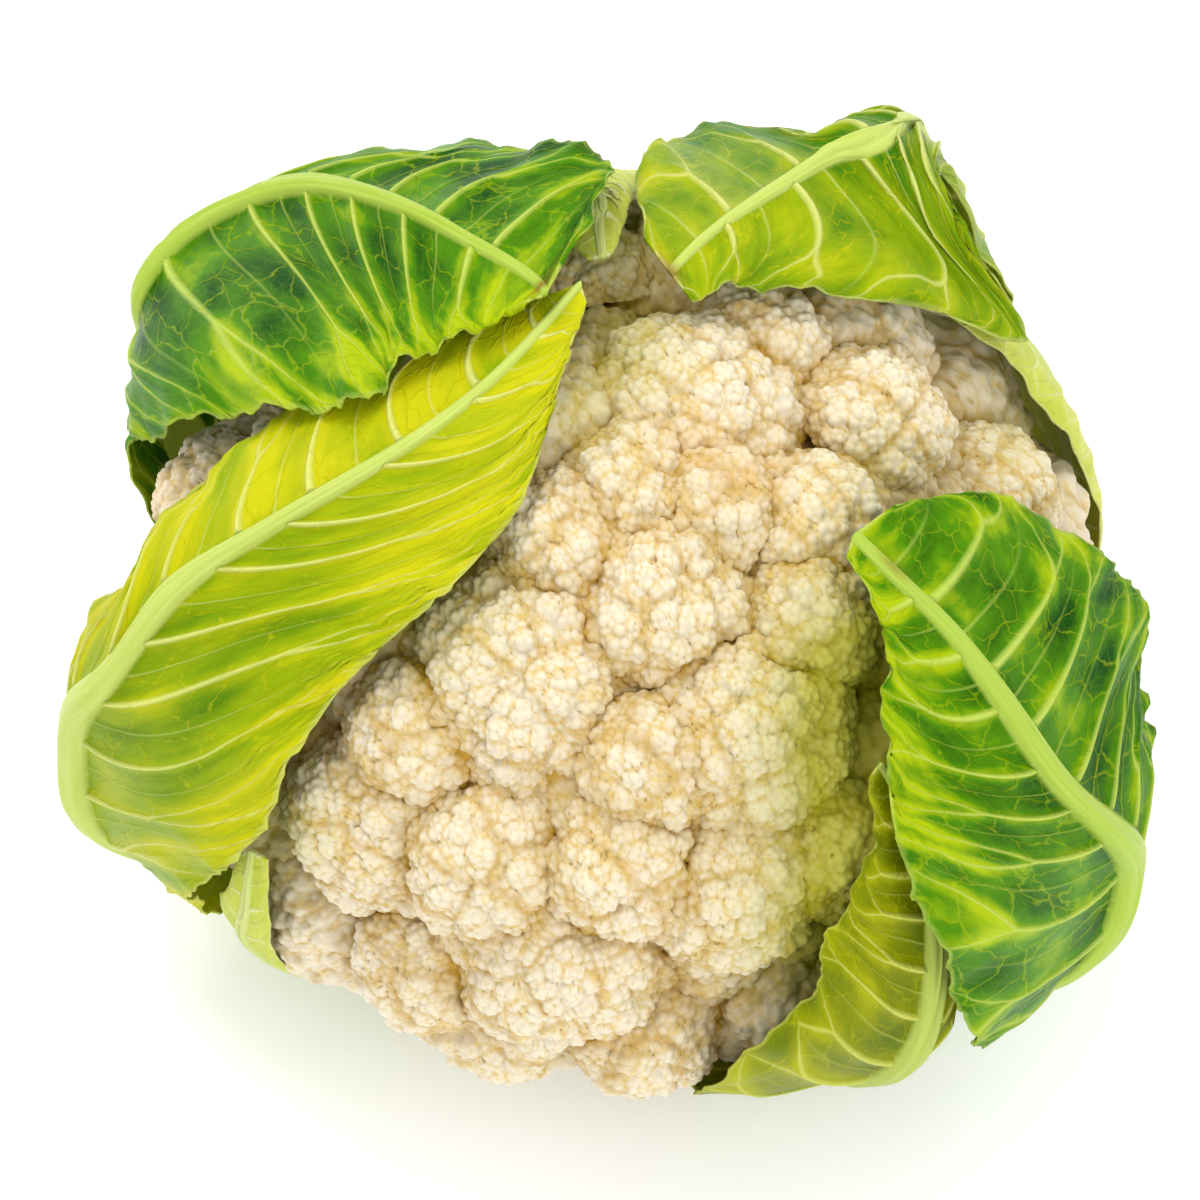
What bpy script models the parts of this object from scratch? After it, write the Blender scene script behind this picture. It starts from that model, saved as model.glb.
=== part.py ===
"""Cauliflower head in its wrapper leaves, standing on its cut stem.

Lengths are written in millimetres and turned to metres by MM. The stem's axis is Z, its cut face lies at
z = 0, and the open face of the head looks towards -Y. Bearings are degrees about Z, from +X towards +Y.
"""

import math

import bmesh
import bpy
import numpy as np

MM = 0.001
GOLDEN_ANGLE = math.pi * (3.0 - math.sqrt(5.0))

# Head: the florets reach out to a dome that is flatter below its widest level
HEAD_HEIGHT = 66.0
HEAD_RADIUS = 89.0
HEAD_RISE = 80.0
HEAD_DROP = 62.0
CENTRE = np.array([0.0, 0.0, HEAD_HEIGHT])

# Leaves keep clear of the dome down to here; under it they follow their own places
CLEARED_DROP = 40.0

# The eye looks at the open face from this far above the table; "seen" places are drawn from there
LOOK_DOWN = math.radians(58.0)

# Stem: a short butt under the head
STEM_FOOT_RADIUS = 23.0
STEM_WAIST_RADIUS = 21.0
STEM_TOP_RADIUS = 22.0
STEM_HEIGHT = 17.0
STEM_SIDES = 32
TOUCHING_GAP = 0.3

# Florets of the open face: to the right, up the slope and half their width as seen, and how far each
# bulges past the dome
OPEN_FLORETS = (
    (-25, -7, 21, 0),
    (6, 10, 15, 0),
    (25, -19, 20, 0),
    (3, -23, 10, 0),
    (-53, -36, 17, 0),
    (-43, -17, 11, 0),
    (-30, -43, 15, 0),
    (-2, -43, 13, 0),
    (21, -49, 15, 0),
    (-17, -65, 20, 0),
    (3, -78, 12, 0),
    (-41, -64, 12, 0),
    (17, 27, 10, 0),
    (0, 31, 11, 0),
    (13, 51, 20, 0),
    (50, 47, 14, 0),
    (37, 23, 14, 0),
    (27, 62, 12, 0),
    (75, 31, 13, 0),
    (41, -40, 11, 0),
    (-8, 76, 11, 0),
    (-14, 22, 11, 0),
    (36, 5, 12, 0),
    (60, 5, 14, 0),
    (-84, 30, 14, 6),
)
HIDDEN_FLORET_RADIUS = 16.0
HIDDEN_FLORET_SPACING = 27.0
FLORET_SWELL = 1.12
LOWEST_FLORET_LEAN = math.radians(112.0)

# Lobes on each floret
LOBE_SPACING = 14.4
LOBE_RADIUS = 8.0
LOBE_STANDS_OUT = 3.2
LOBE_LOOSENESS = 1.3
LOBE_SEED = 11
CREASE_CORE = 66.0

# Underside of the head: ribbed branches that run in to the stem
UNDERSIDE_AT_AXIS = 6.5
UNDERSIDE_SLOPE = 0.42
BRANCHES = 10
BRANCH_RELIEF = 0.035

# Leaves
BLADE_THICKNESS = 1.0
BLADE_COLUMNS = 3
RIB_TOP_SHARE = 0.45
TOOTH_DEPTH = 0.06

COLOURS = {
    "curd": (0.90, 0.82, 0.60),
    "stem": (0.74, 0.80, 0.50),
    "leaf_left": (0.42, 0.60, 0.06),
    "leaf_back_left": (0.08, 0.30, 0.03),
    "leaf_back_right": (0.30, 0.52, 0.06),
    "leaf_right": (0.08, 0.28, 0.03),
    "leaf_front_right": (0.38, 0.55, 0.07),
    "leaf_right_inner": (0.62, 0.66, 0.16),
    "leaf_front_left": (0.55, 0.66, 0.14),
    "leaf_back": (0.62, 0.66, 0.22),
}


def clear_scene():
    for old in list(bpy.data.objects):
        bpy.data.objects.remove(old, do_unlink=True)


def material(name, roughness):
    """A plain finish in the piece's own colour."""
    made = bpy.data.materials.new(name)
    made.use_nodes = True
    shader = made.node_tree.nodes["Principled BSDF"]
    shader.inputs["Base Color"].default_value = (*COLOURS[name], 1.0)
    shader.inputs["Roughness"].default_value = roughness
    shader.inputs["Metallic"].default_value = 0.0
    return made


def add_piece(name, mesh, collection, roughness):
    piece = bpy.data.objects.new(name, mesh)
    mesh.materials.append(material(name, roughness))
    collection.objects.link(piece)
    return piece


def unit(vectors):
    return vectors / np.linalg.norm(vectors, axis=-1, keepdims=True)


def at(bearing, radius, height):
    """A place by its bearing and distance from the stem's axis and its height above the table."""
    turn = math.radians(bearing)
    return np.array([radius * math.cos(turn), radius * math.sin(turn), height])


def dome_sight_depth(right, up, lift, vertical):
    """How far in front of the head's centre a line of sight meets the ellipsoid that is raised by lift."""
    across = HEAD_RADIUS + lift
    tall = vertical + lift
    sine = math.sin(LOOK_DOWN)
    cosine = math.cos(LOOK_DOWN)
    square = (cosine / across) ** 2 + (sine / tall) ** 2
    linear = 2.0 * up * sine * cosine * (1.0 / tall**2 - 1.0 / across**2)
    constant = (right / across) ** 2 + (up * sine / across) ** 2 + (up * cosine / tall) ** 2 - 1.0
    inside = max(0.0, linear**2 - 4.0 * square * constant)
    return (math.sqrt(inside) - linear) / (2.0 * square)


def seen(right, up, lift):
    """The place on the head's dome, raised by lift, that is seen so far to the right of and above its centre."""
    sine = math.sin(LOOK_DOWN)
    cosine = math.cos(LOOK_DOWN)
    near = dome_sight_depth(right, up, lift, HEAD_RISE)
    if up * cosine + near * sine < 0.0:
        near = dome_sight_depth(right, up, lift, HEAD_DROP)
    return CENTRE + np.array([right, up * sine - near * cosine, up * cosine + near * sine])


def dome_share(points, lift, drop=HEAD_DROP):
    """Distance from the head's centre as a share of the raised dome's reach in that direction."""
    away = points - CENTRE
    tall = np.where(away[..., 2] > 0.0, HEAD_RISE, drop) + lift
    level = np.hypot(away[..., 0], away[..., 1]) / (HEAD_RADIUS + lift)
    return np.hypot(level, away[..., 2] / tall)


def kept_out(points, lift):
    """Points inside the dome that is raised by lift move straight out from its centre to its surface."""
    share = np.maximum(dome_share(points, lift, CLEARED_DROP), 1e-6)[..., None]
    return np.where(share < 1.0, CENTRE + (points - CENTRE) / share, points)


def spiral_directions(count):
    """Unit directions spread evenly over a sphere by the golden angle, from the top down."""
    step = np.arange(count)
    upward = 1.0 - (2.0 * step + 1.0) / count
    level = np.sqrt(1.0 - upward**2)
    turn = GOLDEN_ANGLE * step
    return np.stack([level * np.cos(turn), level * np.sin(turn), upward], axis=1)


def floret_balls():
    """Centres and radii of the balls that the florets are drawn from: the open face first, then the rest."""
    tips = [seen(right, up, bulge - LOBE_STANDS_OUT) for right, up, _, bulge in OPEN_FLORETS]
    sizes = [half_width for _, _, half_width, _ in OPEN_FLORETS]
    lean = np.cos(LOWEST_FLORET_LEAN)
    for direction in spiral_directions(420):
        tip = CENTRE + direction / dome_share(CENTRE + direction, -LOBE_STANDS_OUT)
        far_enough = all(
            np.linalg.norm(tip - other) > 0.5 * HIDDEN_FLORET_SPACING + 0.85 * size
            for other, size in zip(tips, sizes)
        )
        if direction[2] > lean and far_enough:
            tips.append(tip)
            sizes.append(HIDDEN_FLORET_RADIUS)
    tips = np.array(tips)
    radii = FLORET_SWELL * np.array(sizes)
    outward = (tips - CENTRE) / np.linalg.norm(tips - CENTRE, axis=1)[:, None]
    return tips - outward * radii[:, None], radii


def reach(directions, centres, radii):
    """Farthest crossing of each ray from the head's centre with any of the balls, or 0 where it meets none."""
    away = centres - CENTRE
    along = directions @ away.T
    inside = radii**2 - (away**2).sum(axis=1) + along**2
    crossing = np.where(inside > 0.0, along + np.sqrt(np.maximum(inside, 0.0)), 0.0)
    return crossing.max(axis=1)


def turned_to(axis, directions):
    """Directions drawn round +Z, turned so that +Z lies along the axis."""
    side = unit(np.cross(axis, (0.3, 0.9, 0.1)))
    return directions @ np.stack([side, np.cross(axis, side), axis])


def lobe_balls(floret_centres, floret_radii):
    """Balls set by the golden angle round every floret's own axis, kept where the floret shows.

    Each is moved a little and made a little larger or smaller by seeded draws. Returns the balls' centres,
    their radii and the directions that they face.
    """
    draw = np.random.default_rng(LOBE_SEED)
    centres = []
    radii = []
    normals = []
    for centre, radius in zip(floret_centres, floret_radii):
        count = max(6, round(4.0 * math.pi * radius**2 / (0.87 * LOBE_SPACING**2)))
        loose = LOBE_LOOSENESS * draw.normal(size=(count, 3)) / radius
        normal = unit(turned_to(unit(centre - CENTRE), spiral_directions(count)) + loose)
        lobe_radius = LOBE_RADIUS * draw.uniform(0.85, 1.15, count)
        top = centre + radius * normal
        distance = np.linalg.norm(top - CENTRE, axis=1)
        direction = (top - CENTRE) / distance[:, None]
        shows = distance > reach(direction, floret_centres, floret_radii) - 0.6
        centres.append((top + (LOBE_STANDS_OUT - lobe_radius)[:, None] * normal)[shows])
        radii.append(lobe_radius[shows])
        normals.append(normal[shows])
    return np.concatenate(centres), np.concatenate(radii), np.concatenate(normals)


def hull_of(directions, merged_within):
    """The convex hull of unit directions, less any that nearly coincide: its corners and its triangles."""
    hull = bmesh.new()
    for direction in directions:
        hull.verts.new(direction)
    bmesh.ops.remove_doubles(hull, verts=hull.verts[:], dist=merged_within)
    bmesh.ops.convex_hull(hull, input=hull.verts[:])
    bmesh.ops.triangulate(hull, faces=hull.faces[:])
    bmesh.ops.recalc_face_normals(hull, faces=hull.faces[:])
    hull.verts.index_update()
    corners = np.array([vertex.co for vertex in hull.verts])
    faces = np.array([[vertex.index for vertex in face.verts] for face in hull.faces])
    hull.free()
    return unit(corners), faces


def lobed_directions(peaks):
    """Directions of every lobe's peak, a ring on its shoulder, and the creases round it."""
    peaks, faces = hull_of(peaks, 0.03)
    corners = unit(np.cross(peaks[faces[:, 1]] - peaks[faces[:, 0]], peaks[faces[:, 2]] - peaks[faces[:, 0]]))
    sides = np.sort(np.concatenate([faces[:, [0, 1]], faces[:, [1, 2]], faces[:, [2, 0]]]), axis=1)
    sides = np.unique(sides, axis=0)
    creases = unit(peaks[sides[:, 0]] + peaks[sides[:, 1]])
    shoulders = unit(peaks[faces] + 0.95 * corners[:, None, :]).reshape(-1, 3)
    return np.concatenate([peaks, corners, creases, shoulders])


def underside_directions():
    """Directions to rings on the underside of the head, from the stem's edge out to the florets."""
    rings = [np.array([[0.0, 0.0, -1.0]])]
    for place, radius in enumerate((STEM_TOP_RADIUS, 33.0, 44.0, 55.0, 66.0)):
        turn = np.radians(np.arange(4 * BRANCHES) * 90.0 / BRANCHES + 4.5 * (place % 2))
        height = max(STEM_HEIGHT + TOUCHING_GAP, UNDERSIDE_AT_AXIS + UNDERSIDE_SLOPE * radius)
        ring = [radius * np.cos(turn), radius * np.sin(turn), np.full(turn.shape, height - HEAD_HEIGHT)]
        rings.append(unit(np.stack(ring, axis=1)))
    return np.concatenate(rings)


def underside_reach(directions):
    """Reach down to the shallow cone of ribbed branches and to the face that sits on the stem."""
    level = np.hypot(directions[:, 0], directions[:, 1])
    down = -directions[:, 2]
    turn = np.arctan2(directions[:, 1], directions[:, 0])
    steep = np.maximum(down + UNDERSIDE_SLOPE * level, 1e-3)
    cone = (HEAD_HEIGHT - UNDERSIDE_AT_AXIS) / steep * (1.0 + BRANCH_RELIEF * np.cos(BRANCHES * turn))
    seat = (HEAD_HEIGHT - STEM_HEIGHT - TOUCHING_GAP) / np.maximum(down, 1e-3)
    return np.minimum(cone, seat)


def make_curd(collection):
    """The head: along every direction its surface lies at the farthest reach of the lobes' balls."""
    floret_centres, floret_radii = floret_balls()
    lobe_centres, lobe_radii, lobe_normals = lobe_balls(floret_centres, floret_radii)
    peaks = unit(lobe_centres + lobe_radii[:, None] * lobe_normals - CENTRE)
    on_branches = underside_directions()
    peaks = peaks[peaks[:, 2] > on_branches[-1, 2]]
    directions, faces = hull_of(np.concatenate([lobed_directions(peaks), on_branches]), 0.015)
    centres = np.concatenate([lobe_centres, floret_centres])
    radii = np.concatenate([lobe_radii, floret_radii])
    reached = np.maximum(reach(directions, centres, radii), CREASE_CORE)
    reached = np.minimum(reached, underside_reach(directions))
    points = (CENTRE + directions * reached[:, None]) * MM
    mesh = bpy.data.meshes.new("curd")
    mesh.from_pydata(points.tolist(), [], faces.tolist())
    return add_piece("curd", mesh, collection, 0.6)


def make_stem(collection):
    """The butt of the stalk: a turned profile, flat where it was cut."""
    profile = bpy.data.meshes.new("stem")
    rim = 1.5
    outline = (
        (0.0, STEM_HEIGHT),
        (STEM_TOP_RADIUS - rim, STEM_HEIGHT),
        (STEM_TOP_RADIUS, STEM_HEIGHT - rim),
        (STEM_WAIST_RADIUS, 0.5 * STEM_HEIGHT),
        (STEM_FOOT_RADIUS, rim),
        (STEM_FOOT_RADIUS - 0.5 * rim, 0.0),
        (0.0, 0.0),
    )
    points = [(radius * MM, 0.0, height * MM) for radius, height in outline]
    profile.from_pydata(points, [(i, i + 1) for i in range(len(points) - 1)], [])
    stem = add_piece("stem", profile, collection, 0.5)
    turned = stem.modifiers.new("turned", "SCREW")
    turned.steps = STEM_SIDES
    turned.render_steps = STEM_SIDES
    turned.use_merge_vertices = True
    turned.merge_threshold = 0.0001
    return stem


def smooth_through(stations, rows):
    """Catmull-Rom curve through evenly spaced stations, read at so many rows. Stations may be rows of points."""
    stations = np.asarray(stations, float)
    padded = np.concatenate([2 * stations[:1] - stations[1:2], stations, 2 * stations[-1:] - stations[-2:-1]])
    place = np.linspace(0.0, len(stations) - 1.0, rows)
    first = np.minimum(place.astype(int), len(stations) - 2)
    share = (place - first).reshape((-1,) + (1,) * (stations.ndim - 1))
    before, start, end, after = (padded[first + step] for step in range(4))
    return 0.5 * (
        2.0 * start
        + (end - before) * share
        + (2.0 * before - 5.0 * start + 4.0 * end - after) * share**2
        + (3.0 * start - before - 3.0 * end + after) * share**3
    )


def leaf_columns(rib_share):
    """Signed places across each row: the left blade, the rib's foot and flat top, and the right blade."""
    blade = np.linspace(1.0, 0.0, BLADE_COLUMNS + 1)[:-1]
    half = [rib_share + (1.0 - rib_share) * share for share in blade]
    half += [rib_share, RIB_TOP_SHARE * rib_share]
    half = np.stack(half, axis=1)
    return np.concatenate([-half, half[:, ::-1]], axis=1)


def leaf_grid(stations, teeth, rib_half_widths, layer, waves, wave_height):
    """Points of the leaf's inner face, row by row from its base to its tip.

    A row runs straight from the left margin to the rib and on to the right margin. Every other row is pulled
    in at the margin, which cuts the teeth. A sine along the leaf, which grows towards the margins, waves it.
    The whole face is then kept outside the head's dome raised by the leaf's layer.
    """
    rows = 2 * teeth + 1
    left, rib, right = np.moveaxis(smooth_through(stations, rows), 1, 0)
    along = np.linspace(0.0, 1.0, rows)
    rib_half = rib_half_widths[0] + (rib_half_widths[1] - rib_half_widths[0]) * along
    narrow = np.minimum(np.linalg.norm(left - rib, axis=1), np.linalg.norm(right - rib, axis=1))
    across = leaf_columns(np.minimum(rib_half / np.maximum(narrow, 0.1), 0.7))
    bite = np.where(np.arange(rows) % 2 == 1, TOOTH_DEPTH, 0.0)
    side = np.where(across[..., None] < 0.0, left[:, None], right[:, None]) - rib[:, None]
    share = np.abs(across) * (1.0 - bite[:, None] * np.abs(across) ** 4)
    points = rib[:, None] + side * share[..., None]
    phase = np.where(across < 0.0, 0.0, 2.0)
    ripple = wave_height * np.sin(2.0 * math.pi * waves * along[:, None] + phase) * across**2
    return kept_out(points + unit(points - CENTRE) * ripple[..., None], layer)


def grid_faces(rows, columns):
    first = np.arange(rows - 1)[:, None] * columns + np.arange(columns - 1)
    return np.stack([first, first + 1, first + columns + 1, first + columns], axis=-1).reshape(-1, 4)


def make_leaf(
    collection, name, stations, teeth, rib_half_widths, rib_rises, layer, waves=3.5, wave_height=1.5
):
    """A leaf: its inner face as an open grid, thickened outwards, with the rib as the thickest band."""
    grid = leaf_grid(stations, teeth, rib_half_widths, layer, waves, wave_height)
    rows, columns = grid.shape[:2]
    mesh = bpy.data.meshes.new(name)
    mesh.from_pydata((grid.reshape(-1, 3) * MM).tolist(), [], grid_faces(rows, columns).tolist())
    leaf = add_piece(name, mesh, collection, 0.45)
    thickest = BLADE_THICKNESS + rib_rises[0]
    thickness = leaf.vertex_groups.new(name="thickness")
    rise = np.linspace(rib_rises[0], rib_rises[1], rows)
    middle = columns // 2
    for row in range(rows):
        for column in range(columns):
            on_rib = column in (middle - 1, middle)
            local = BLADE_THICKNESS + (rise[row] if on_rib else 0.0)
            thickness.add([row * columns + column], local / thickest, "REPLACE")
    leaf.modifiers.new("split alike", "TRIANGULATE")
    wall = leaf.modifiers.new("wall", "SOLIDIFY")
    wall.thickness = thickest * MM
    wall.offset = 1.0
    wall.vertex_group = "thickness"
    return leaf


def make_leaf_left(collection):
    """The largest leaf: out under the head to the left, bent sharply, and laid over the open face."""
    stations = (
        (at(176, 24, 14.5), at(195, 25.5, 12), at(214, 24, 14.5)),
        (at(178, 46, 21), at(194, 48, 16), at(210, 46, 21)),
        (at(178, 74, 30), at(192, 80, 22), at(207, 74, 28)),
        (at(178, 97, 46), at(191, 101, 37), at(207, 88, 38)),
        (at(180, 99, 66), at(191, 103, 62), at(214, 93, 66)),
        (at(182, 97, 86), at(193, 102, 82), seen(-68, -36, 5)),
        (seen(-90, 13, 13), seen(-94, -6, 15), seen(-55, -14, 4)),
        (seen(-87, 22, 10), seen(-80, 11, 12), seen(-43, -1, 3)),
        (seen(-76, 32, 9), seen(-61, 23, 9), seen(-31, 11, 3)),
        (seen(-61, 45, 5), seen(-39, 36, 7), seen(-18, 27, 3)),
        (seen(-37, 55, 4), seen(-24, 48, 5), seen(-13, 44, 3)),
        (seen(-13, 64, 4), seen(-9, 65, 4), seen(-8, 61, 3)),
    )
    return make_leaf(collection, "leaf_left", stations, 12, (8.5, 1.5), (7.0, 0.8), 3.0)


def make_leaf_back_left(collection):
    """Up behind the head on the left, bent over, with its lower half lying on the left leaf's margin."""
    stations = (
        (at(129, 24, 14.5), at(148, 25.5, 12), at(167, 24, 14.5)),
        (at(132, 46, 21), at(148, 48, 16), at(164, 46, 21)),
        (at(134, 74, 31), at(147, 80, 24), at(160, 74, 31)),
        (at(134, 98, 54), at(146, 103, 48), at(159, 98, 56)),
        (at(137, 99, 82), at(145, 106, 76), at(157, 99, 80)),
        (seen(-84, 74, 20), seen(-89, 66, 21), seen(-89, 37, 11)),
        (seen(-70, 83, 16), seen(-80, 77, 20), seen(-75, 40, 11)),
        (seen(-52, 91, 12), seen(-61, 84, 18), seen(-59, 41, 10)),
        (seen(-35, 93, 12), seen(-43, 80, 14), seen(-47, 44, 10)),
        (seen(-18, 92, 12), seen(-28, 72, 12), seen(-40, 51, 10)),
        (seen(-2, 89, 10), seen(-18, 66, 10), seen(-30, 55, 10)),
        (seen(-9, 75, 10), seen(-15, 63, 9), seen(-20, 61, 9)),
    )
    return make_leaf(collection, "leaf_back_left", stations, 12, (8.5, 1.5), (7.0, 0.8), 8.5)


def make_leaf_back_right(collection):
    """Up behind the head on the right and bent over its top, with the tip turned down."""
    stations = (
        (at(44, 24, 14.5), at(62, 25.5, 12), at(80, 24, 14.5)),
        (at(46, 46, 21), at(62, 48, 16), at(78, 46, 21)),
        (at(48, 74, 31), at(61, 80, 24), at(74, 74, 31)),
        (at(46, 98, 54), at(60, 104, 48), at(74, 98, 54)),
        (at(44, 98, 84), at(60, 108, 82), at(70, 101, 86)),
        (seen(56, 88, 20), seen(52, 96, 22), seen(50, 97, 21)),
        (seen(64, 72, 14), seen(45, 93, 20), seen(44, 95, 19)),
        (seen(74, 54, 8), seen(37, 90, 15), seen(34, 94, 16)),
        (seen(56, 60, 6), seen(30, 85, 12), seen(24, 97, 12)),
        (seen(35, 63, 5), seen(21, 79, 9), seen(11, 96, 9)),
        (seen(20, 65, 5), seen(13, 73, 7), seen(1, 89, 7)),
        (seen(11, 62, 4), seen(7, 67, 5), seen(2, 74, 5)),
    )
    return make_leaf(collection, "leaf_back_right", stations, 12, (8.0, 1.5), (6.5, 0.8), 3.5)


def make_leaf_right(collection):
    """Out under the head to the right, bent sharply, and laid back over it with its tip on the open face."""
    stations = (
        (at(-40, 24, 14.5), at(-22, 25.5, 12), at(-4, 24, 14.5)),
        (at(-41, 52, 22), at(-27, 54, 17), at(-12, 52, 23)),
        (at(-41, 80, 27), at(-31, 83, 22), at(-16, 80, 30)),
        (at(-47, 94, 38), at(-27, 97, 36), at(-13, 95, 45)),
        (at(-54, 101, 60), at(-24, 99, 56), at(-10, 96, 62)),
        (seen(55, -58, 13), at(-28, 99, 76), at(-12, 96, 74)),
        (seen(49, -41, 12), seen(76, -24, 11), at(-11, 95, 83)),
        (seen(45, -28, 9), seen(66, -10, 12), at(-3, 95, 93)),
        (seen(44, -10, 8), seen(56, 3, 9), seen(84, 18, 8)),
        (seen(45, 3, 7), seen(47, 12, 8), seen(66, 28, 7)),
        (seen(38, 16, 7), seen(39, 20, 7), seen(47, 26, 7)),
    )
    return make_leaf(collection, "leaf_right", stations, 12, (8.5, 1.8), (7.0, 1.0), 5.0)


def make_leaf_front_right(collection):
    """A paler leaf closer in, whose blade hugs the florets under the right leaf."""
    stations = (
        (at(-80, 24, 14.5), at(-62, 25.5, 12), at(-45, 24, 14.5)),
        (at(-82, 46, 22), at(-61, 48, 17), at(-49, 46, 22)),
        (at(-81, 67, 31), at(-59, 74, 25), at(-50, 72, 30)),
        (at(-82, 84.5, 46), at(-58, 86, 38), at(-50, 87, 43)),
        (seen(20, -71, 3), at(-57, 94, 55), at(-50, 93, 58)),
        (seen(31, -63, 3), seen(54, -60, 5), seen(59, -57, 4)),
        (seen(33, -53, 3), seen(54, -47, 4), seen(59, -45, 3)),
        (seen(38, -46, 3), seen(51, -36, 4), seen(56, -34, 3)),
        (seen(43, -35, 3), seen(48, -27, 3), seen(51, -26, 3)),
        (seen(42, -23, 3), seen(44, -20, 3), seen(47, -22, 3)),
    )
    return make_leaf(collection, "leaf_front_right", stations, 10, (7.0, 1.2), (5.0, 0.6), 2.0)


def make_leaf_right_inner(collection):
    """A narrow inner leaf up the right side, with its tip under the back right leaf."""
    stations = (
        (at(8, 24, 15), at(18, 25, 13.5), at(28, 24, 15)),
        (at(11, 46, 23), at(20, 48, 20), at(30, 46, 23)),
        (at(13, 74, 33), at(24, 77, 30), at(35, 74, 33)),
        (at(15, 90, 50), at(28, 93, 48), at(39, 90, 51)),
        (at(16, 90, 74), at(30, 92, 74), at(41, 90, 75)),
        (at(18, 84, 96), at(32, 86, 97), at(43, 84, 98)),
        (at(26, 76, 112), at(36, 77, 112), at(45, 76, 113)),
        (at(36, 67, 123), at(39, 67, 123), at(42, 67, 123)),
    )
    return make_leaf(collection, "leaf_right_inner", stations, 7, (4.5, 1.0), (3.5, 0.4), 1.2, 3.0, 0.6)


def make_leaf_front_left(collection):
    """A small leaf that hugs the head's lower left, under the margin of the left leaf."""
    stations = (
        (at(222, 24, 15), at(236, 25.5, 12.5), at(250, 24, 15)),
        (at(218, 46, 22), at(230, 48, 18), at(240, 46, 22)),
        (at(212, 71, 33), at(220, 74, 30), at(227, 71, 33)),
        (at(210, 86, 50), at(217, 87, 49), at(223, 86, 50)),
        (seen(-73, -44, 1.5), seen(-69, -46, 1.5), seen(-65, -49, 1.5)),
        (seen(-71, -38, 1.5), seen(-68, -36, 1.5), seen(-65, -38, 1.5)),
    )
    return make_leaf(collection, "leaf_front_left", stations, 5, (5.0, 1.2), (3.5, 0.4), 1.0, 3.0, 0.6)


def make_leaf_back(collection):
    """A pale leaf up the back of the head, with its tip turned over the top between its neighbours."""
    stations = (
        (at(88, 24, 15), at(104, 25.5, 13), at(120, 24, 15)),
        (at(92, 46, 22), at(104, 48, 18), at(116, 46, 22)),
        (at(92, 74, 32), at(104, 78, 28), at(116, 74, 32)),
        (at(86, 92, 55), at(102, 94, 54), at(118, 92, 56)),
        (at(84, 88, 84), at(100, 90, 86), at(118, 88, 86)),
        (seen(1, 82, 2), seen(-6, 82, 2.5), seen(-15, 79, 2)),
        (seen(-1, 77, 1.5), seen(-6, 77, 1.5), seen(-13, 74, 1.5)),
        (seen(-3, 71, 1.5), seen(-5, 70, 1.5), seen(-8, 70, 1.5)),
    )
    return make_leaf(collection, "leaf_back", stations, 8, (5.0, 1.0), (4.0, 0.4), 1.2, 3.0, 0.6)


def main():
    clear_scene()
    collection = bpy.data.collections.new("cauliflower")
    bpy.context.scene.collection.children.link(collection)
    make_curd(collection)
    make_stem(collection)
    make_leaf_right_inner(collection)
    make_leaf_front_left(collection)
    make_leaf_back(collection)
    make_leaf_front_right(collection)
    make_leaf_left(collection)
    make_leaf_back_left(collection)
    make_leaf_back_right(collection)
    make_leaf_right(collection)


main()
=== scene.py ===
import math

import bpy
import numpy as np
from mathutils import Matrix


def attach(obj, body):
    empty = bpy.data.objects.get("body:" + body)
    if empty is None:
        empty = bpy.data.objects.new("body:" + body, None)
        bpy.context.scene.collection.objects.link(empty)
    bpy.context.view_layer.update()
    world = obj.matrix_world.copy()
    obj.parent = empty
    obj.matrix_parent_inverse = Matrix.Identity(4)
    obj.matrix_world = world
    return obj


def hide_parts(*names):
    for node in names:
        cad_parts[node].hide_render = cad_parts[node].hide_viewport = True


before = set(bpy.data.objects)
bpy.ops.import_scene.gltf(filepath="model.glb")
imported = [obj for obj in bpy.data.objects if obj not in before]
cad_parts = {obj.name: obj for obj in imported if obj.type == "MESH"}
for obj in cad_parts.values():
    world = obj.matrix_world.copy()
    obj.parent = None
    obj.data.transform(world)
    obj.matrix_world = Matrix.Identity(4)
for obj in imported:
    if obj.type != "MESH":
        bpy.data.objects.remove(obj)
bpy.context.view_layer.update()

# Camera. It stands well back with a long lens and looks 58 degrees down on the open face of the head.
# The photograph's square frame covers 222 mm, and its middle is a little above and left of the head's middle.
MM = 0.001
LOOK_DOWN = math.radians(58.0)
CENTRE = np.array([0.0, 0.0, 66.0])
FRAME_WIDTH = 222.0
CAMERA_DISTANCE = 1850.0
SENSOR_WIDTH = 36.0
AIM_RIGHT = -5.55
AIM_UP = 8.7

to_eye = np.array([0.0, -math.cos(LOOK_DOWN), math.sin(LOOK_DOWN)])
up_the_view = np.array([0.0, math.sin(LOOK_DOWN), math.cos(LOOK_DOWN)])
aim = CENTRE + AIM_RIGHT * np.array([1.0, 0.0, 0.0]) + AIM_UP * up_the_view
camera_data = bpy.data.cameras.new("camera")
camera_data.sensor_width = SENSOR_WIDTH
camera_data.lens = SENSOR_WIDTH * CAMERA_DISTANCE / FRAME_WIDTH
camera_data.clip_end = 20.0
camera = bpy.data.objects.new("camera", camera_data)
camera.location = (aim + CAMERA_DISTANCE * to_eye) * MM
camera.rotation_euler = (math.radians(90.0) - LOOK_DOWN, 0.0, 0.0)
bpy.context.scene.collection.objects.link(camera)
bpy.context.scene.camera = camera


# Table and studio light. A matt white table that glows a little, as a lit one does, a large soft lamp high
# behind the head on the left, a weaker one in front, and white walls, so that only a faint shadow falls.
def linear(hex_colour):
    """Linear colour, with an alpha of 1, of an sRGB hex value."""
    shares = [int(hex_colour[place:place + 2], 16) / 255.0 for place in (1, 3, 5)]
    return (*[share / 12.92 if share <= 0.04045 else ((share + 0.055) / 1.055) ** 2.4 for share in shares], 1.0)


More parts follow.
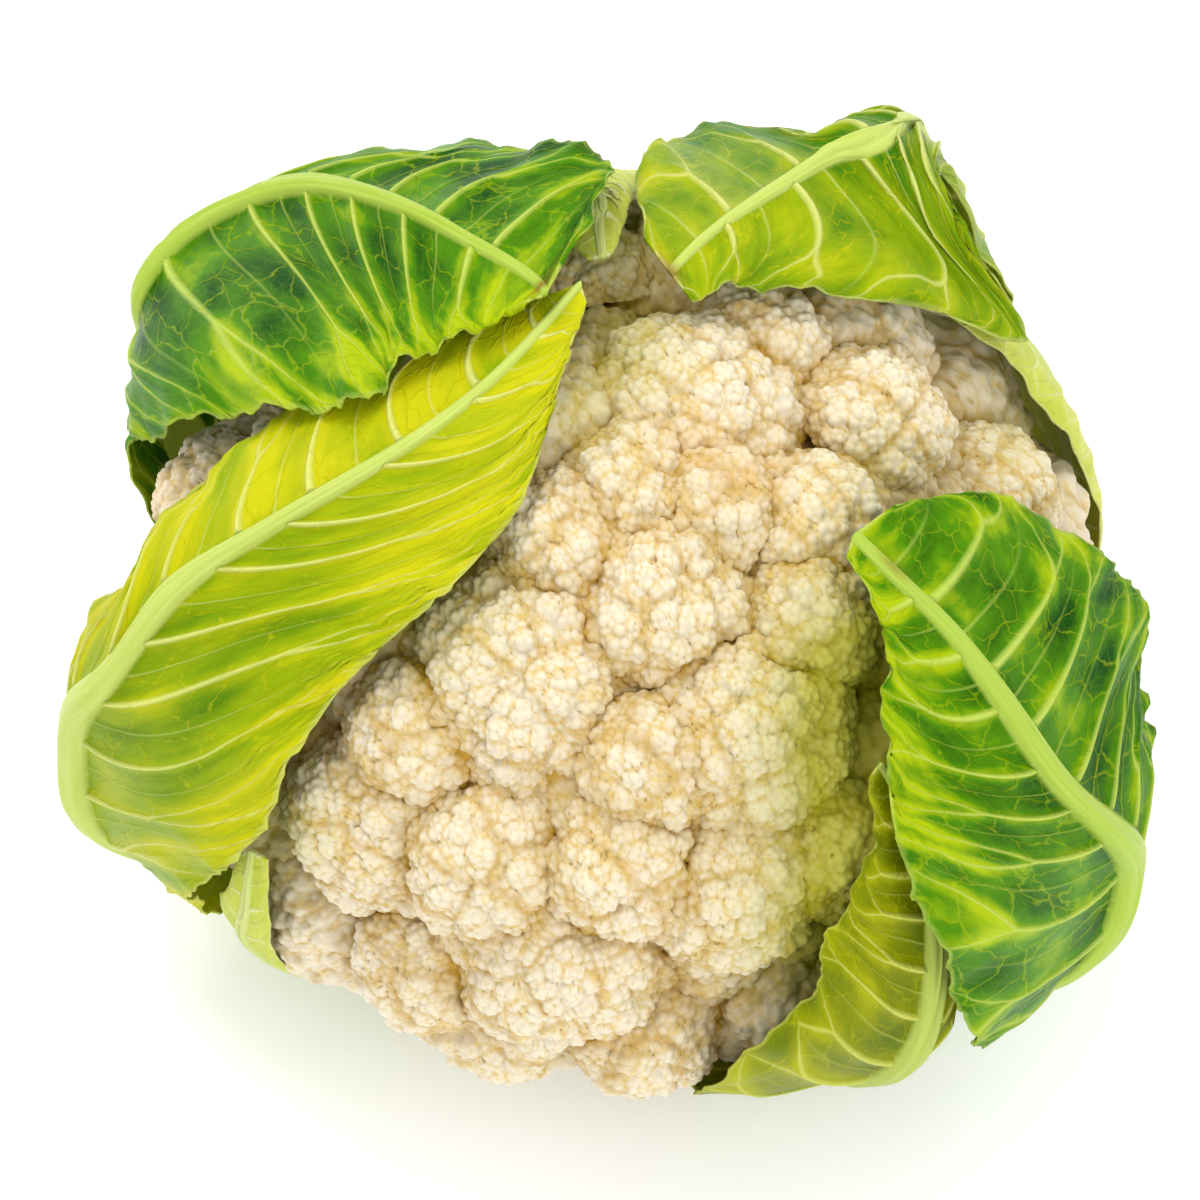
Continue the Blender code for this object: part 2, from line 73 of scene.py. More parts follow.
def add_node(tree, kind, inputs=None, **settings):
    """Adds a node with its settings. Each input is a value, or an output socket that it is linked from."""
    made = tree.nodes.new(kind)
    for name, value in settings.items():
        setattr(made, name, value)
    for name, value in (inputs or {}).items():
        if isinstance(value, bpy.types.NodeSocket):
            tree.links.new(value, made.inputs[name])
        else:
            made.inputs[name].default_value = value
    return made


def soft_lamp(name, place, size, power, colour):
    """A square lamp at a place in millimetres, turned to the head's middle."""
    data = bpy.data.lights.new(name, "AREA")
    data.size = size * MM
    data.energy = power
    data.color = linear(colour)[:3]
    lamp = bpy.data.objects.new(name, data)
    lamp.location = np.array(place) * MM
    away = np.array(place) - CENTRE
    level = math.hypot(away[0], away[1])
    lamp.rotation_euler = (math.atan2(level, away[2]), 0.0, math.atan2(away[1], away[0]) + math.pi / 2.0)
    bpy.context.scene.collection.objects.link(lamp)


TABLE_HALF = 4.0
table_mesh = bpy.data.meshes.new("table")
table_corners = [(x * TABLE_HALF, y * TABLE_HALF, 0.0) for x, y in ((-1, -1), (1, -1), (1, 1), (-1, 1))]
table_mesh.from_pydata(table_corners, [], [(0, 1, 2, 3)])
table = bpy.data.objects.new("table", table_mesh)
bpy.context.scene.collection.objects.link(table)
table_finish = bpy.data.materials.new("matt_white_laminate")
table_finish.use_nodes = True
table_shader = table_finish.node_tree.nodes["Principled BSDF"]
table_shader.inputs["Base Color"].default_value = linear("#FAFBFF")
table_shader.inputs["Roughness"].default_value = 0.85
table_shader.inputs["Specular IOR Level"].default_value = 0.2
table_shader.inputs["Emission Color"].default_value = (1.0, 1.0, 1.0, 1.0)
table_shader.inputs["Emission Strength"].default_value = 0.1
table_mesh.materials.append(table_finish)

soft_lamp("lamp_behind", (-420.0, 520.0, 1150.0), 700.0, 7.4, "#FFFDF8")
soft_lamp("lamp_in_front", (520.0, -800.0, 880.0), 900.0, 5.0, "#FFFFFF")
studio = bpy.data.worlds.new("studio")
studio.use_nodes = True
studio.node_tree.nodes["Background"].inputs["Color"].default_value = (1.0, 1.0, 1.0, 1.0)
studio.node_tree.nodes["Background"].inputs["Strength"].default_value = 1.07
bpy.context.scene.world = studio
bpy.context.scene.view_settings.view_transform = "Standard"

# Head. The florets reach out to a dome, flatter below its widest level, and lie where the open face shows them.
# Elsewhere they are spread by the golden angle. Each floret carries lobes, spread round its own axis.
GOLDEN_ANGLE = math.pi * (3.0 - math.sqrt(5.0))
HEAD_RADIUS = 89.0
HEAD_RISE = 80.0
HEAD_DROP = 62.0
OPEN_FLORETS = (
    (-25, -7, 21, 0),
    (6, 10, 15, 0),
    (25, -19, 20, 0),
    (3, -23, 10, 0),
    (-53, -36, 17, 0),
    (-43, -17, 11, 0),
    (-30, -43, 15, 0),
    (-2, -43, 13, 0),
    (21, -49, 15, 0),
    (-17, -65, 20, 0),
    (3, -78, 12, 0),
    (-41, -64, 12, 0),
    (17, 27, 10, 0),
    (0, 31, 11, 0),
    (13, 51, 20, 0),
    (50, 47, 14, 0),
    (37, 23, 14, 0),
    (27, 62, 12, 0),
    (75, 31, 13, 0),
    (41, -40, 11, 0),
    (-8, 76, 11, 0),
    (-14, 22, 11, 0),
    (36, 5, 12, 0),
    (60, 5, 14, 0),
    (-84, 30, 14, 6),
)
HIDDEN_FLORET_RADIUS = 16.0
HIDDEN_FLORET_SPACING = 27.0
FLORET_SWELL = 1.12
LOWEST_FLORET_LEAN = math.radians(112.0)
LOBE_SPACING = 14.4
LOBE_RADIUS = 8.0
LOBE_STANDS_OUT = 3.2
LOBE_LOOSENESS = 1.3
LOBE_SEED = 11


def unit(vectors):
    """Vectors over their lengths."""
    return vectors / np.linalg.norm(vectors, axis=-1, keepdims=True)


def dome_sight_depth(right, up, lift, vertical):
    """Root of the quadratic where a line of sight meets the ellipsoid raised by lift, nearest the eye."""
    across = HEAD_RADIUS + lift
    tall = vertical + lift
    sine = math.sin(LOOK_DOWN)
    cosine = math.cos(LOOK_DOWN)
    square = (cosine / across) ** 2 + (sine / tall) ** 2
    linear_part = 2.0 * up * sine * cosine * (1.0 / tall**2 - 1.0 / across**2)
    constant = (right / across) ** 2 + (up * sine / across) ** 2 + (up * cosine / tall) ** 2 - 1.0
    inside = max(0.0, linear_part**2 - 4.0 * square * constant)
    return (math.sqrt(inside) - linear_part) / (2.0 * square)


def seen(right, up, lift):
    """The place on the dome, raised by lift, that is seen so far to the right of and above the head's middle."""
    sine = math.sin(LOOK_DOWN)
    cosine = math.cos(LOOK_DOWN)
    near = dome_sight_depth(right, up, lift, HEAD_RISE)
    if up * cosine + near * sine < 0.0:
        near = dome_sight_depth(right, up, lift, HEAD_DROP)
    return CENTRE + np.array([right, up * sine - near * cosine, up * cosine + near * sine])


def dome_share(points, lift, drop=HEAD_DROP):
    """Distance from the head's middle over the raised dome's reach: the length of the vector in dome units."""
    away = points - CENTRE
    tall = np.where(away[..., 2] > 0.0, HEAD_RISE, drop) + lift
    level = np.hypot(away[..., 0], away[..., 1]) / (HEAD_RADIUS + lift)
    return np.hypot(level, away[..., 2] / tall)


def spiral_directions(count):
    """Height falls evenly from 1 to -1 while the bearing turns by the golden angle."""
    step = np.arange(count)
    upward = 1.0 - (2.0 * step + 1.0) / count
    level = np.sqrt(1.0 - upward**2)
    turn = GOLDEN_ANGLE * step
    return np.stack([level * np.cos(turn), level * np.sin(turn), upward], axis=1)


def floret_balls():
    """Centres, radii and outward axes of the florets' balls: the open face first, then the rest."""
    tips = [seen(right, up, bulge - LOBE_STANDS_OUT) for right, up, _, bulge in OPEN_FLORETS]
    sizes = [half_width for _, _, half_width, _ in OPEN_FLORETS]
    for direction in spiral_directions(420):
        tip = CENTRE + direction / dome_share(CENTRE + direction, -LOBE_STANDS_OUT)
        far_enough = all(
            np.linalg.norm(tip - other) > 0.5 * HIDDEN_FLORET_SPACING + 0.85 * size
            for other, size in zip(tips, sizes)
        )
        if direction[2] > math.cos(LOWEST_FLORET_LEAN) and far_enough:
            tips.append(tip)
            sizes.append(HIDDEN_FLORET_RADIUS)
    tips = np.array(tips)
    radii = FLORET_SWELL * np.array(sizes)
    outward = unit(tips - CENTRE)
    return tips - outward * radii[:, None], radii, outward


def turned_to(axis, directions):
    """Directions drawn round +Z, turned so that +Z lies along the axis."""
    side = unit(np.cross(axis, (0.3, 0.9, 0.1)))
    return directions @ np.stack([side, np.cross(axis, side), axis])


floret_centres, floret_radii, floret_axes = floret_balls()

# Florets of curd. Dense cream flower tissue: each lobe is a crowd of clusters, and each cluster a crowd of
# beads 2 to 2.5 mm across. The creases between them hold real shade, and ochre shade is painted into them as well.
CLUSTERS_A_LOBE = 20
CLUSTER_LEAN = math.radians(74.0)
CLUSTER_RADIUS = 0.32
CLUSTER_STANDS_OUT = 1.55
BEADS_A_CLUSTER = 19
BEAD_LEAN = math.radians(95.0)
BEAD_RADIUS = 0.37
BEAD_STANDS_OUT = 0.7
BEAD_SEED = 23
LOBE_FLATTER = 1.25
LOBE_SINKS = 0.9
OPEN_SPACING = 0.35
HIDDEN_SPACING = 0.9
FLORET_LEAN = math.radians(86.0)
OPEN_SHARE = 0.91
SMOOTHER_PAST = 58
SMOOTHER_RELIEF = 0.6
LOW_FLORET_LEAN = math.radians(118.0)
# A crease's painted shade fades by these millimetres of difference between the heights of the two balls beside it
BEAD_CREASE = 0.42
CLUSTER_CREASE = 0.9
LOBE_CREASE = 0.9
PIT = 0.4
JOINT_FADES = 2.2
# Small florets fill the gaps that reach deeper than this under the dome. Their tips lie this far under it.
DEEP_GAP = 20.0
INNER_FLORET_RADIUS = 10.0
INNER_FLORET_DROP = 13.0
INNER_SPACING = 0.55
UNDERSIDE_AT_AXIS = 6.5
UNDERSIDE_SLOPE = 0.42
# Where green light and shade from a leaf are painted on the curd beside it, and where it is stained: right, up, size
# and strength
LEAF_LIGHT_AND_SHADE = (
    (-2, 55, 11, 0.55),
    (-11, 42, 8, 0.35),
    (-41, 9, 14, 0.6),
    (-27, 16, 8, 0.3),
    (46, -5, 19, 1.2),
    (45, -24, 18, 1.2),
    (38, -51, 15, 1.1),
    (46, 33, 9, 0.3),
    (-66, -32, 10, 0.6),
    (-4, 80, 12, 0.8),
    (72, 40, 9, 0.35),
)
STAINS = (
    (20, 31, 6, 0.7),
    (11, 38, 5, 0.6),
    (88, 19, 4, 1.0),
    (-84, 28, 5, 0.4),
)


def new_piece(name, points, quads, triangles, finish, node_name, attributes):
    """A closed mesh from arrays in millimetres. Faces are turned round if the volume they enclose is negative."""
    corners = np.concatenate([quads[:, [0, 1, 2]], quads[:, [0, 2, 3]], triangles])
    first, second, third = (points[corners[:, place]] for place in range(3))
    if np.einsum("ij,ij->", first - points.mean(axis=0), np.cross(second - first, third - first)) < 0.0:
        quads = quads[:, ::-1]
        triangles = triangles[:, ::-1]
    mesh = bpy.data.meshes.new(name)
    mesh.vertices.add(len(points))
    mesh.vertices.foreach_set("co", (points * MM).astype(np.float32).ravel())
    loops = np.concatenate([quads.ravel(), triangles.ravel()]).astype(np.int32)
    starts = np.concatenate([4 * np.arange(len(quads)), 4 * len(quads) + 3 * np.arange(len(triangles))])
    mesh.loops.add(len(loops))
    mesh.loops.foreach_set("vertex_index", loops)
    mesh.polygons.add(len(starts))
    mesh.polygons.foreach_set("loop_start", starts.astype(np.int32))
    mesh.polygons.foreach_set("use_smooth", np.ones(len(starts), bool))
    mesh.update(calc_edges=True)
    mesh.validate()
    for label, values in attributes.items():
        kind = "FLOAT" if values.ndim == 1 else "FLOAT_VECTOR"
        layer = mesh.attributes.new(label, kind, "POINT")
        layer.data.foreach_set("value" if values.ndim == 1 else "vector", values.astype(np.float32).ravel())
    mesh.materials.append(finish)
    piece = bpy.data.objects.new(name, mesh)
    bpy.context.scene.collection.objects.link(piece)
    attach(piece, "root")
    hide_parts(node_name)
    return piece


def smooth_step(low, high, values):
    """3x^2 - 2x^3 of the share between low and high."""
    share = np.clip((values - low) / (high - low), 0.0, 1.0)
    return share * share * (3.0 - 2.0 * share)


def farthest(directions, centres, radii, keep):
    """Where rays from the origin leave balls: dot + sqrt(r^2 - c^2 + dot^2). Returns the farthest few, in order."""
    along = np.einsum("ni,nki->nk", directions, np.broadcast_to(centres, (len(directions), *centres.shape[1:])))
    inside = radii**2 - (centres**2).sum(axis=-1) + along**2
    crossing = np.where(inside > 0.0, along + np.sqrt(np.maximum(inside, 0.0)), 0.0)
    order = np.argsort(-crossing, axis=1)[:, :keep]
    return np.take_along_axis(crossing, order, axis=1), order


def cap_round(axes, count, lean, looseness, draw):
    """Golden-angle directions over a cap round every axis, each cap turned and each direction moved by draws."""
    upward = 1.0 - (np.arange(count) + 0.5) / count * (1.0 - math.cos(lean))
    level = np.sqrt(1.0 - upward**2)
    turn = GOLDEN_ANGLE * np.arange(count) + draw.uniform(0.0, 2.0 * math.pi, (len(axes), 1))
    side = unit(np.cross(axes, (0.3, 0.9, 0.1)))[:, None]
    other = np.cross(axes[:, None], side)
    spread = (level * np.cos(turn))[..., None] * side + (level * np.sin(turn))[..., None] * other
    spread = spread + upward[:, None] * axes[:, None]
    return unit(spread + draw.normal(0.0, looseness, spread.shape))


def crowd(centres, radii, axes, count, lean, share, stands_out, draw):
    """Smaller balls on every ball's outer cap, with radii a share of its own and tops that stand out of it."""
    normals = cap_round(axes, count, lean, 0.09, draw)
    small = share * radii[:, None] * draw.uniform(0.86, 1.16, normals.shape[:2])
    proud = stands_out * draw.uniform(0.65, 1.35, normals.shape[:2])
    tops = centres[:, None] + (radii[:, None] + proud - small)[..., None] * normals
    return tops, small, normals


def disc_directions(side, lean):
    """A square grid pulled to a disc, x sqrt(1 - y^2 / 2), then wrapped on a sphere with equal areas."""
    x, y = np.meshgrid(np.linspace(-1.0, 1.0, side), np.linspace(-1.0, 1.0, side), indexing="ij")
    across = x * np.sqrt(1.0 - 0.5 * y**2)
    down = y * np.sqrt(1.0 - 0.5 * x**2)
    radius = np.minimum(np.hypot(across, down), 1.0)
    angle = 2.0 * np.arcsin(radius * math.sin(0.5 * lean))
    turn = np.arctan2(down, across)
    level = np.sin(angle)
    return np.stack([level * np.cos(turn), level * np.sin(turn), np.cos(angle)], axis=-1).reshape(-1, 3)


def grid_quads(rows, columns):
    """Quads between neighbouring places of a grid."""
    first = np.arange(rows - 1)[:, None] * columns + np.arange(columns - 1)
    return np.stack([first, first + 1, first + columns + 1, first + columns], axis=-1).reshape(-1, 4)


def rim_of(rows, columns):
    """Places round the edge of a grid, in the order in which the grid's quads turn."""
    places = np.arange(rows * columns).reshape(rows, columns)
    return np.concatenate([places[0, :-1], places[:-1, -1], places[-1, :0:-1], places[:0:-1, 0]])


def underside_height(points):
    """Height of the branches' shallow cone under the head, which no floret hangs below."""
    level = np.hypot(points[..., 0], points[..., 1])
    return np.maximum(UNDERSIDE_AT_AXIS + UNDERSIDE_SLOPE * level, 18.0)


curd_finish = bpy.data.materials.new("fresh_curd")
curd_finish.use_nodes = True
# Fresh curd: moist, dense flower tissue. Light goes a few millimetres in and comes out warm, and its beads are
# matt with a faint wet sheen. The ochre of its creases and deep gaps is painted shade, and the green beside the
# leaves is painted light and shade from them.
curd_tree = curd_finish.node_tree
curd_shader = curd_tree.nodes["Principled BSDF"]
place_on_curd = add_node(curd_tree, "ShaderNodeTexCoord").outputs["Object"]
creases = add_node(curd_tree, "ShaderNodeAttribute", attribute_name="creases").outputs["Vector"]
painted_shade_and_stains = add_node(curd_tree, "ShaderNodeAttribute", attribute_name="painted_shade_and_stains").outputs["Vector"]
crease = add_node(curd_tree, "ShaderNodeSeparateXYZ", {"Vector": creases})
shade = add_node(curd_tree, "ShaderNodeSeparateXYZ", {"Vector": painted_shade_and_stains})
broad_tone = add_node(curd_tree, "ShaderNodeTexNoise", {"Vector": place_on_curd, "Scale": 38.0, "Detail": 3.0})
fleck_noise = add_node(curd_tree, "ShaderNodeTexNoise", {"Vector": place_on_curd, "Scale": 260.0, "Detail": 1.0})
flecks = add_node(curd_tree, "ShaderNodeMapRange", {"Value": fleck_noise.outputs[0], 1: 0.5, 2: 0.66, 3: 0.25, 4: 1.0})
specks = add_node(curd_tree, "ShaderNodeMath", {0: crease.outputs[2], 1: flecks.outputs[0]}, operation="MULTIPLY")
curd_colour = add_node(
    curd_tree, "ShaderNodeMix", {0: broad_tone.outputs[0], 6: linear("#DCD4C2"), 7: linear("#DACFB1")},
    data_type="RGBA",
)
# Layers over the curd's own colour: painted ochre shade in the creases between beads and clusters, painted deep shade
# in the gaps under the dome and where florets meet, painted green light and shade beside the leaves, real tan stains,
# and dark brown specks in some pits where three beads meet.
for amount, strongest, hex_colour in (
    (crease.outputs[0], 0.54, "#D2B03E"),
    (crease.outputs[1], 0.42, "#C8A228"),
    (shade.outputs[0], 0.96, "#AE860A"),
    (shade.outputs[1], 0.88, "#9E9C08"),
    (shade.outputs[2], 0.5, "#CDA870"),
    (specks.outputs[0], 0.85, "#6A4010"),
):
    share = add_node(curd_tree, "ShaderNodeMath", {0: amount, 1: strongest}, operation="MULTIPLY")
    curd_colour = add_node(
        curd_tree, "ShaderNodeMix", {0: share.outputs[0], 6: curd_colour.outputs[2], 7: linear(hex_colour)},
        data_type="RGBA",
    )
curd_tree.links.new(curd_colour.outputs[2], curd_shader.inputs["Base Color"])
curd_shader.inputs["Roughness"].default_value = 0.46
curd_shader.inputs["IOR"].default_value = 1.4
curd_shader.inputs["Specular IOR Level"].default_value = 0.2
curd_shader.inputs["Subsurface Weight"].default_value = 0.35
curd_shader.inputs["Subsurface Radius"].default_value = (1.0, 0.78, 0.34)
curd_shader.inputs["Subsurface Scale"].default_value = 0.0005
grain = add_node(curd_tree, "ShaderNodeTexNoise", {"Vector": place_on_curd, "Scale": 1600.0, "Detail": 2.0})
grain_bump = add_node(
    curd_tree, "ShaderNodeBump", {"Height": grain.outputs[0], "Strength": 0.25, "Distance": 0.00025}
)
curd_tree.links.new(grain_bump.outputs[0], curd_shader.inputs["Normal"])


# The florets of the open face are drawn a little smaller about their tips than in the head's solid, so that
# the gaps between them are deep
drawn_shares = np.where(np.arange(len(floret_radii)) < len(OPEN_FLORETS), OPEN_SHARE, 1.0)
drawn_radii = floret_radii * drawn_shares
drawn_centres = floret_centres + (floret_radii - drawn_radii)[:, None] * floret_axes

for direction in spiral_directions(900):
    dome_reach = 1.0 / dome_share(CENTRE + direction, 0.0)
    away = drawn_centres - CENTRE
    inside = drawn_radii**2 - (away**2).sum(axis=1) + (away @ direction) ** 2
    florets_reach = np.where(inside > 0.0, away @ direction + np.sqrt(np.maximum(inside, 0.0)), 0.0).max()
    if florets_reach < dome_reach - DEEP_GAP and direction[2] > math.cos(LOWEST_FLORET_LEAN):
        inner_centre = CENTRE + (dome_reach - INNER_FLORET_DROP - INNER_FLORET_RADIUS) * direction
        floret_axes = np.vstack([floret_axes, direction])
        floret_radii = np.append(floret_radii, INNER_FLORET_RADIUS)
        floret_centres = np.vstack([floret_centres, inner_centre])
        drawn_shares = np.append(drawn_shares, 1.0)
        drawn_radii = np.append(drawn_radii, INNER_FLORET_RADIUS)
        drawn_centres = np.vstack([drawn_centres, inner_centre])


def floret_lobes():
    """Lobe balls of every floret, by the same draws as the head's solid: centres, radii and normals."""
    draw = np.random.default_rng(LOBE_SEED)
    lobes = []
    for centre, radius, axis in zip(floret_centres, floret_radii, floret_axes):
        count = max(6, round(4.0 * math.pi * radius**2 / (0.87 * LOBE_SPACING**2)))
        loose = LOBE_LOOSENESS * draw.normal(size=(count, 3)) / radius
        normal = unit(turned_to(axis, spiral_directions(count)) + loose)
        lobe_radius = LOBE_RADIUS * draw.uniform(0.85, 1.15, count)
        top = (radius + LOBE_STANDS_OUT - lobe_radius)[:, None] * normal
        lobes.append((top, lobe_radius, normal))
    return lobes


def coloured_spots(points, places):
    """Sum of amount x exp(-(distance / size)^2) over spots on the open face, placed as they are seen."""
    away = points - CENTRE
    across, up, near = away[:, 0], away @ up_the_view, away @ to_eye
    total = np.zeros(len(points))
    for spot_across, spot_up, size, amount in places:
        total += amount * np.exp(-((across - spot_across) ** 2 + (up - spot_up) ** 2) / size**2)
    return np.clip(total, 0.0, 1.0) * (near > 0.0)


def joint_shade(index, points):
    """Shade where a floret meets its neighbours: exp(-gap / fade) of the gap to the nearest one's lobes."""
    away = np.linalg.norm(points[:, None] - drawn_centres, axis=2) - drawn_radii - 0.6 * LOBE_STANDS_OUT
    away[:, index] = np.inf
    return np.exp(-np.maximum(away.min(axis=1), 0.0) / JOINT_FADES)


def make_floret(index, lobes, spacing, lean, relief):
    """Each ray from the floret's centre ends where it leaves the last lobe, cluster or bead."""
    draw = np.random.default_rng(BEAD_SEED + index)
    centre, radius, axis = drawn_centres[index], drawn_radii[index], floret_axes[index]
    lobe_centres, lobe_radii, lobe_normals = lobes
    lobe_centres = lobe_centres * drawn_shares[index]
    lobe_radii = lobe_radii * drawn_shares[index]
    flatter = LOBE_FLATTER * lobe_radii
    lobe_centres = lobe_centres - (flatter - lobe_radii + LOBE_SINKS)[:, None] * lobe_normals
    lobe_radii = flatter
    area = 2.0 * math.pi * (1.0 - math.cos(lean)) * (radius + LOBE_STANDS_OUT) ** 2
    side = round(math.sqrt(area) / spacing)
    directions = turned_to(axis, disc_directions(side, lean))
    clusters, cluster_radii, cluster_normals = crowd(
        lobe_centres, lobe_radii, lobe_normals, CLUSTERS_A_LOBE, CLUSTER_LEAN, CLUSTER_RADIUS,
        relief * CLUSTER_STANDS_OUT, draw,
    )
    beads, bead_radii, _ = crowd(
        clusters.reshape(-1, 3), cluster_radii.ravel(), cluster_normals.reshape(-1, 3), BEADS_A_CLUSTER,
        BEAD_LEAN, BEAD_RADIUS, relief * BEAD_STANDS_OUT, draw,
    )
    count = len(directions)
    lobe_reach, near_lobes = farthest(directions, lobe_centres[None], lobe_radii[None], 3)
    cluster_reach, near_clusters = farthest(
        directions, clusters[near_lobes].reshape(count, -1, 3), cluster_radii[near_lobes].reshape(count, -1), 4
    )
    lobe_of_cluster = np.take_along_axis(near_lobes, near_clusters // CLUSTERS_A_LOBE, axis=1)
    near_clusters = lobe_of_cluster * CLUSTERS_A_LOBE + near_clusters % CLUSTERS_A_LOBE
    bead_reach, _ = farthest(
        directions, beads[near_clusters].reshape(count, -1, 3), bead_radii[near_clusters].reshape(count, -1), 3
    )
    reached = np.maximum.reduce([np.full(count, radius), lobe_reach[:, 0], cluster_reach[:, 0], bead_reach[:, 0]])
    points = centre + reached[:, None] * directions
    points[:, 2] = np.maximum(points[:, 2], underside_height(points))
    # Marks for painted shade in the creases between beads and clusters, between lobes, deep under the dome and where
    # florets meet; and the pits where three beads meet, where dark brown specks go.
    bead_crease = smooth_step(0.3, 1.0, np.exp((bead_reach[:, 1] - bead_reach[:, 0]) / BEAD_CREASE))
    cluster_crease = smooth_step(0.3, 1.0, np.exp((cluster_reach[:, 1] - cluster_reach[:, 0]) / CLUSTER_CREASE))
    lobe_crease = np.exp((lobe_reach[:, 1] - lobe_reach[:, 0]) / LOBE_CREASE)
    pit = smooth_step(0.4, 1.0, np.exp((bead_reach[:, 2] - bead_reach[:, 0]) / PIT))
    depth = smooth_step(0.945, 0.8, dome_share(points, 0.0))
    depth = np.maximum.reduce([depth, 0.5 * smooth_step(0.2, 1.0, lobe_crease), 0.95 * joint_shade(index, points)])
    # Painted green light and shade from the leaves beside the curd, and real stains.
    painted_leaf_light_and_shade = coloured_spots(points, LEAF_LIGHT_AND_SHADE)
    stain = coloured_spots(points, STAINS)
    pole = centre + axis * radius * (math.cos(lean) - 0.15)
    pole[2] = max(pole[2], underside_height(pole))
    rim = rim_of(side, side)
    fan = np.stack([np.roll(rim, -1), rim, np.full(len(rim), count)], axis=1)
    return new_piece(
        f"curd_floret_{index + 1:02d}", np.concatenate([points, pole[None]]), grid_quads(side, side), fan,
        curd_finish, "curd",
        {
            "creases": np.concatenate([np.stack([bead_crease, cluster_crease, pit], axis=1), np.zeros((1, 3))]),
            "painted_shade_and_stains": np.concatenate([np.stack([depth, painted_leaf_light_and_shade, stain], axis=1), np.zeros((1, 3))]),
        },
    )


for index, lobes in enumerate(floret_lobes()):
    low = floret_axes[index, 2] < -0.05
    faces_eye = floret_axes[index] @ to_eye > 0.2
    at_side = index < len(OPEN_FLORETS) and abs(OPEN_FLORETS[index][0]) > SMOOTHER_PAST
    make_floret(
        index,
        lobes,
        OPEN_SPACING if index < len(OPEN_FLORETS) else INNER_SPACING if faces_eye else HIDDEN_SPACING,
        LOW_FLORET_LEAN if low else FLORET_LEAN,
        SMOOTHER_RELIEF if at_side else 1.0,
    )

# Core of the head. Under the florets the branches run together into one thick stalk, ribbed below where they
# join, of the same flesh as the curd.
CORE_RADIUS = 66.0
BRANCHES = 10
BRANCH_RELIEF = 0.035
TWIG_RELIEF = 0.012
SEAT_HEIGHT = 17.3
CORE_ROWS = 90
CORE_COLUMNS = 160


def turned_quads(rows, columns):
    """Quads of rings of points that close on themselves, and fans to a pole before the first and after the last."""
    first = np.arange(rows - 1)[:, None] * columns + np.arange(columns)
    following = np.arange(rows - 1)[:, None] * columns + (np.arange(columns) + 1) % columns
    quads = np.stack([first, following, following + columns, first + columns], axis=-1).reshape(-1, 4)
    ring = np.arange(columns)
    after = (ring + 1) % columns
    last = (rows - 1) * columns
    top = np.stack([after, ring, np.full(columns, rows * columns)], axis=1)
    bottom = np.stack([last + ring, last + after, np.full(columns, rows * columns + 1)], axis=1)
    return quads, np.concatenate([top, bottom])


lean = np.linspace(0.0, math.pi, CORE_ROWS + 2)[1:-1, None]
turn = np.linspace(0.0, 2.0 * math.pi, CORE_COLUMNS, endpoint=False)[None]
level = np.sin(lean) * np.ones_like(turn)
upward = np.cos(lean) * np.ones_like(turn)
ribs = 1.0 + BRANCH_RELIEF * np.cos(BRANCHES * turn) + TWIG_RELIEF * np.cos(3 * BRANCHES * turn + 1.0)
cone = (CENTRE[2] - UNDERSIDE_AT_AXIS + 0.5) / np.maximum(-upward + UNDERSIDE_SLOPE * level, 1e-3) * ribs
seat = (CENTRE[2] - SEAT_HEIGHT) / np.maximum(-upward, 1e-3)
core_reach = np.minimum(np.minimum(cone, seat), CORE_RADIUS)
core_points = CENTRE + core_reach[..., None] * np.stack(
    [level * np.cos(turn), level * np.sin(turn), upward], axis=-1
)
core_poles = np.array([[0.0, 0.0, CENTRE[2] + CORE_RADIUS], [0.0, 0.0, SEAT_HEIGHT]])
core_quads, core_fans = turned_quads(CORE_ROWS, CORE_COLUMNS)
core_count = CORE_ROWS * CORE_COLUMNS + 2
# The core shows only deep in the gaps between florets, so its colour is painted with deep shade and some crease shade
# all over.
new_piece(
    "curd_core", np.concatenate([core_points.reshape(-1, 3), core_poles]), core_quads, core_fans,
    curd_finish, "curd",
    {"creases": np.full((core_count, 3), 0.2), "painted_shade_and_stains": np.full((core_count, 3), (0.8, 0.0, 0.0))},
)

# Stem. The butt of the stalk, cut straight across: pale green, ribbed lengthwise where leaves were cut away,
# with a pale pith and a ring of fibres on the cut face that the head stands on.
STEM_OUTLINE = (
    (0.6, 17.0),
    (14.0, 17.0),
    (20.5, 17.0),
    (21.6, 16.4),
    (22.0, 15.5),
    (21.3, 12.0),
    (21.0, 8.5),
    (21.6, 5.0),
    (22.8, 2.4),
    (23.0, 1.4),
    (22.8, 0.5),
    (22.2, 0.0),
    (14.0, 0.0),
    (0.6, 0.0),
)
STEM_ROWS = 72
STEM_COLUMNS = 128
STEM_RIBS = 9

stem_finish = bpy.data.materials.new("cut_stalk")
stem_finish.use_nodes = True
# Cut stalk: watery, fibrous flesh under a waxy pale green skin, so the sides have a soft gloss and the cut
# face is matt with fine rings.
stem_tree = stem_finish.node_tree
stem_shader = stem_tree.nodes["Principled BSDF"]
place_on_stem = add_node(stem_tree, "ShaderNodeTexCoord").outputs["Object"]
stem_noise = add_node(stem_tree, "ShaderNodeTexNoise", {"Vector": place_on_stem, "Scale": 120.0, "Detail": 4.0})
stem_skin = add_node(
    stem_tree, "ShaderNodeMix", {0: stem_noise.outputs[0], 6: linear("#DDE6B4"), 7: linear("#BFD088")},
    data_type="RGBA",
)
stem_rings = add_node(
    stem_tree, "ShaderNodeTexWave", {"Vector": place_on_stem, "Scale": 90.0, "Distortion": 2.0, "Detail": 2.0},
    wave_type="RINGS", rings_direction="Z",
)
stem_face = add_node(
    stem_tree, "ShaderNodeMix", {0: stem_rings.outputs[1], 6: linear("#EFEBCB"), 7: linear("#D8D49C")},
    data_type="RGBA",
)
stem_height = add_node(stem_tree, "ShaderNodeSeparateXYZ", {"Vector": place_on_stem})
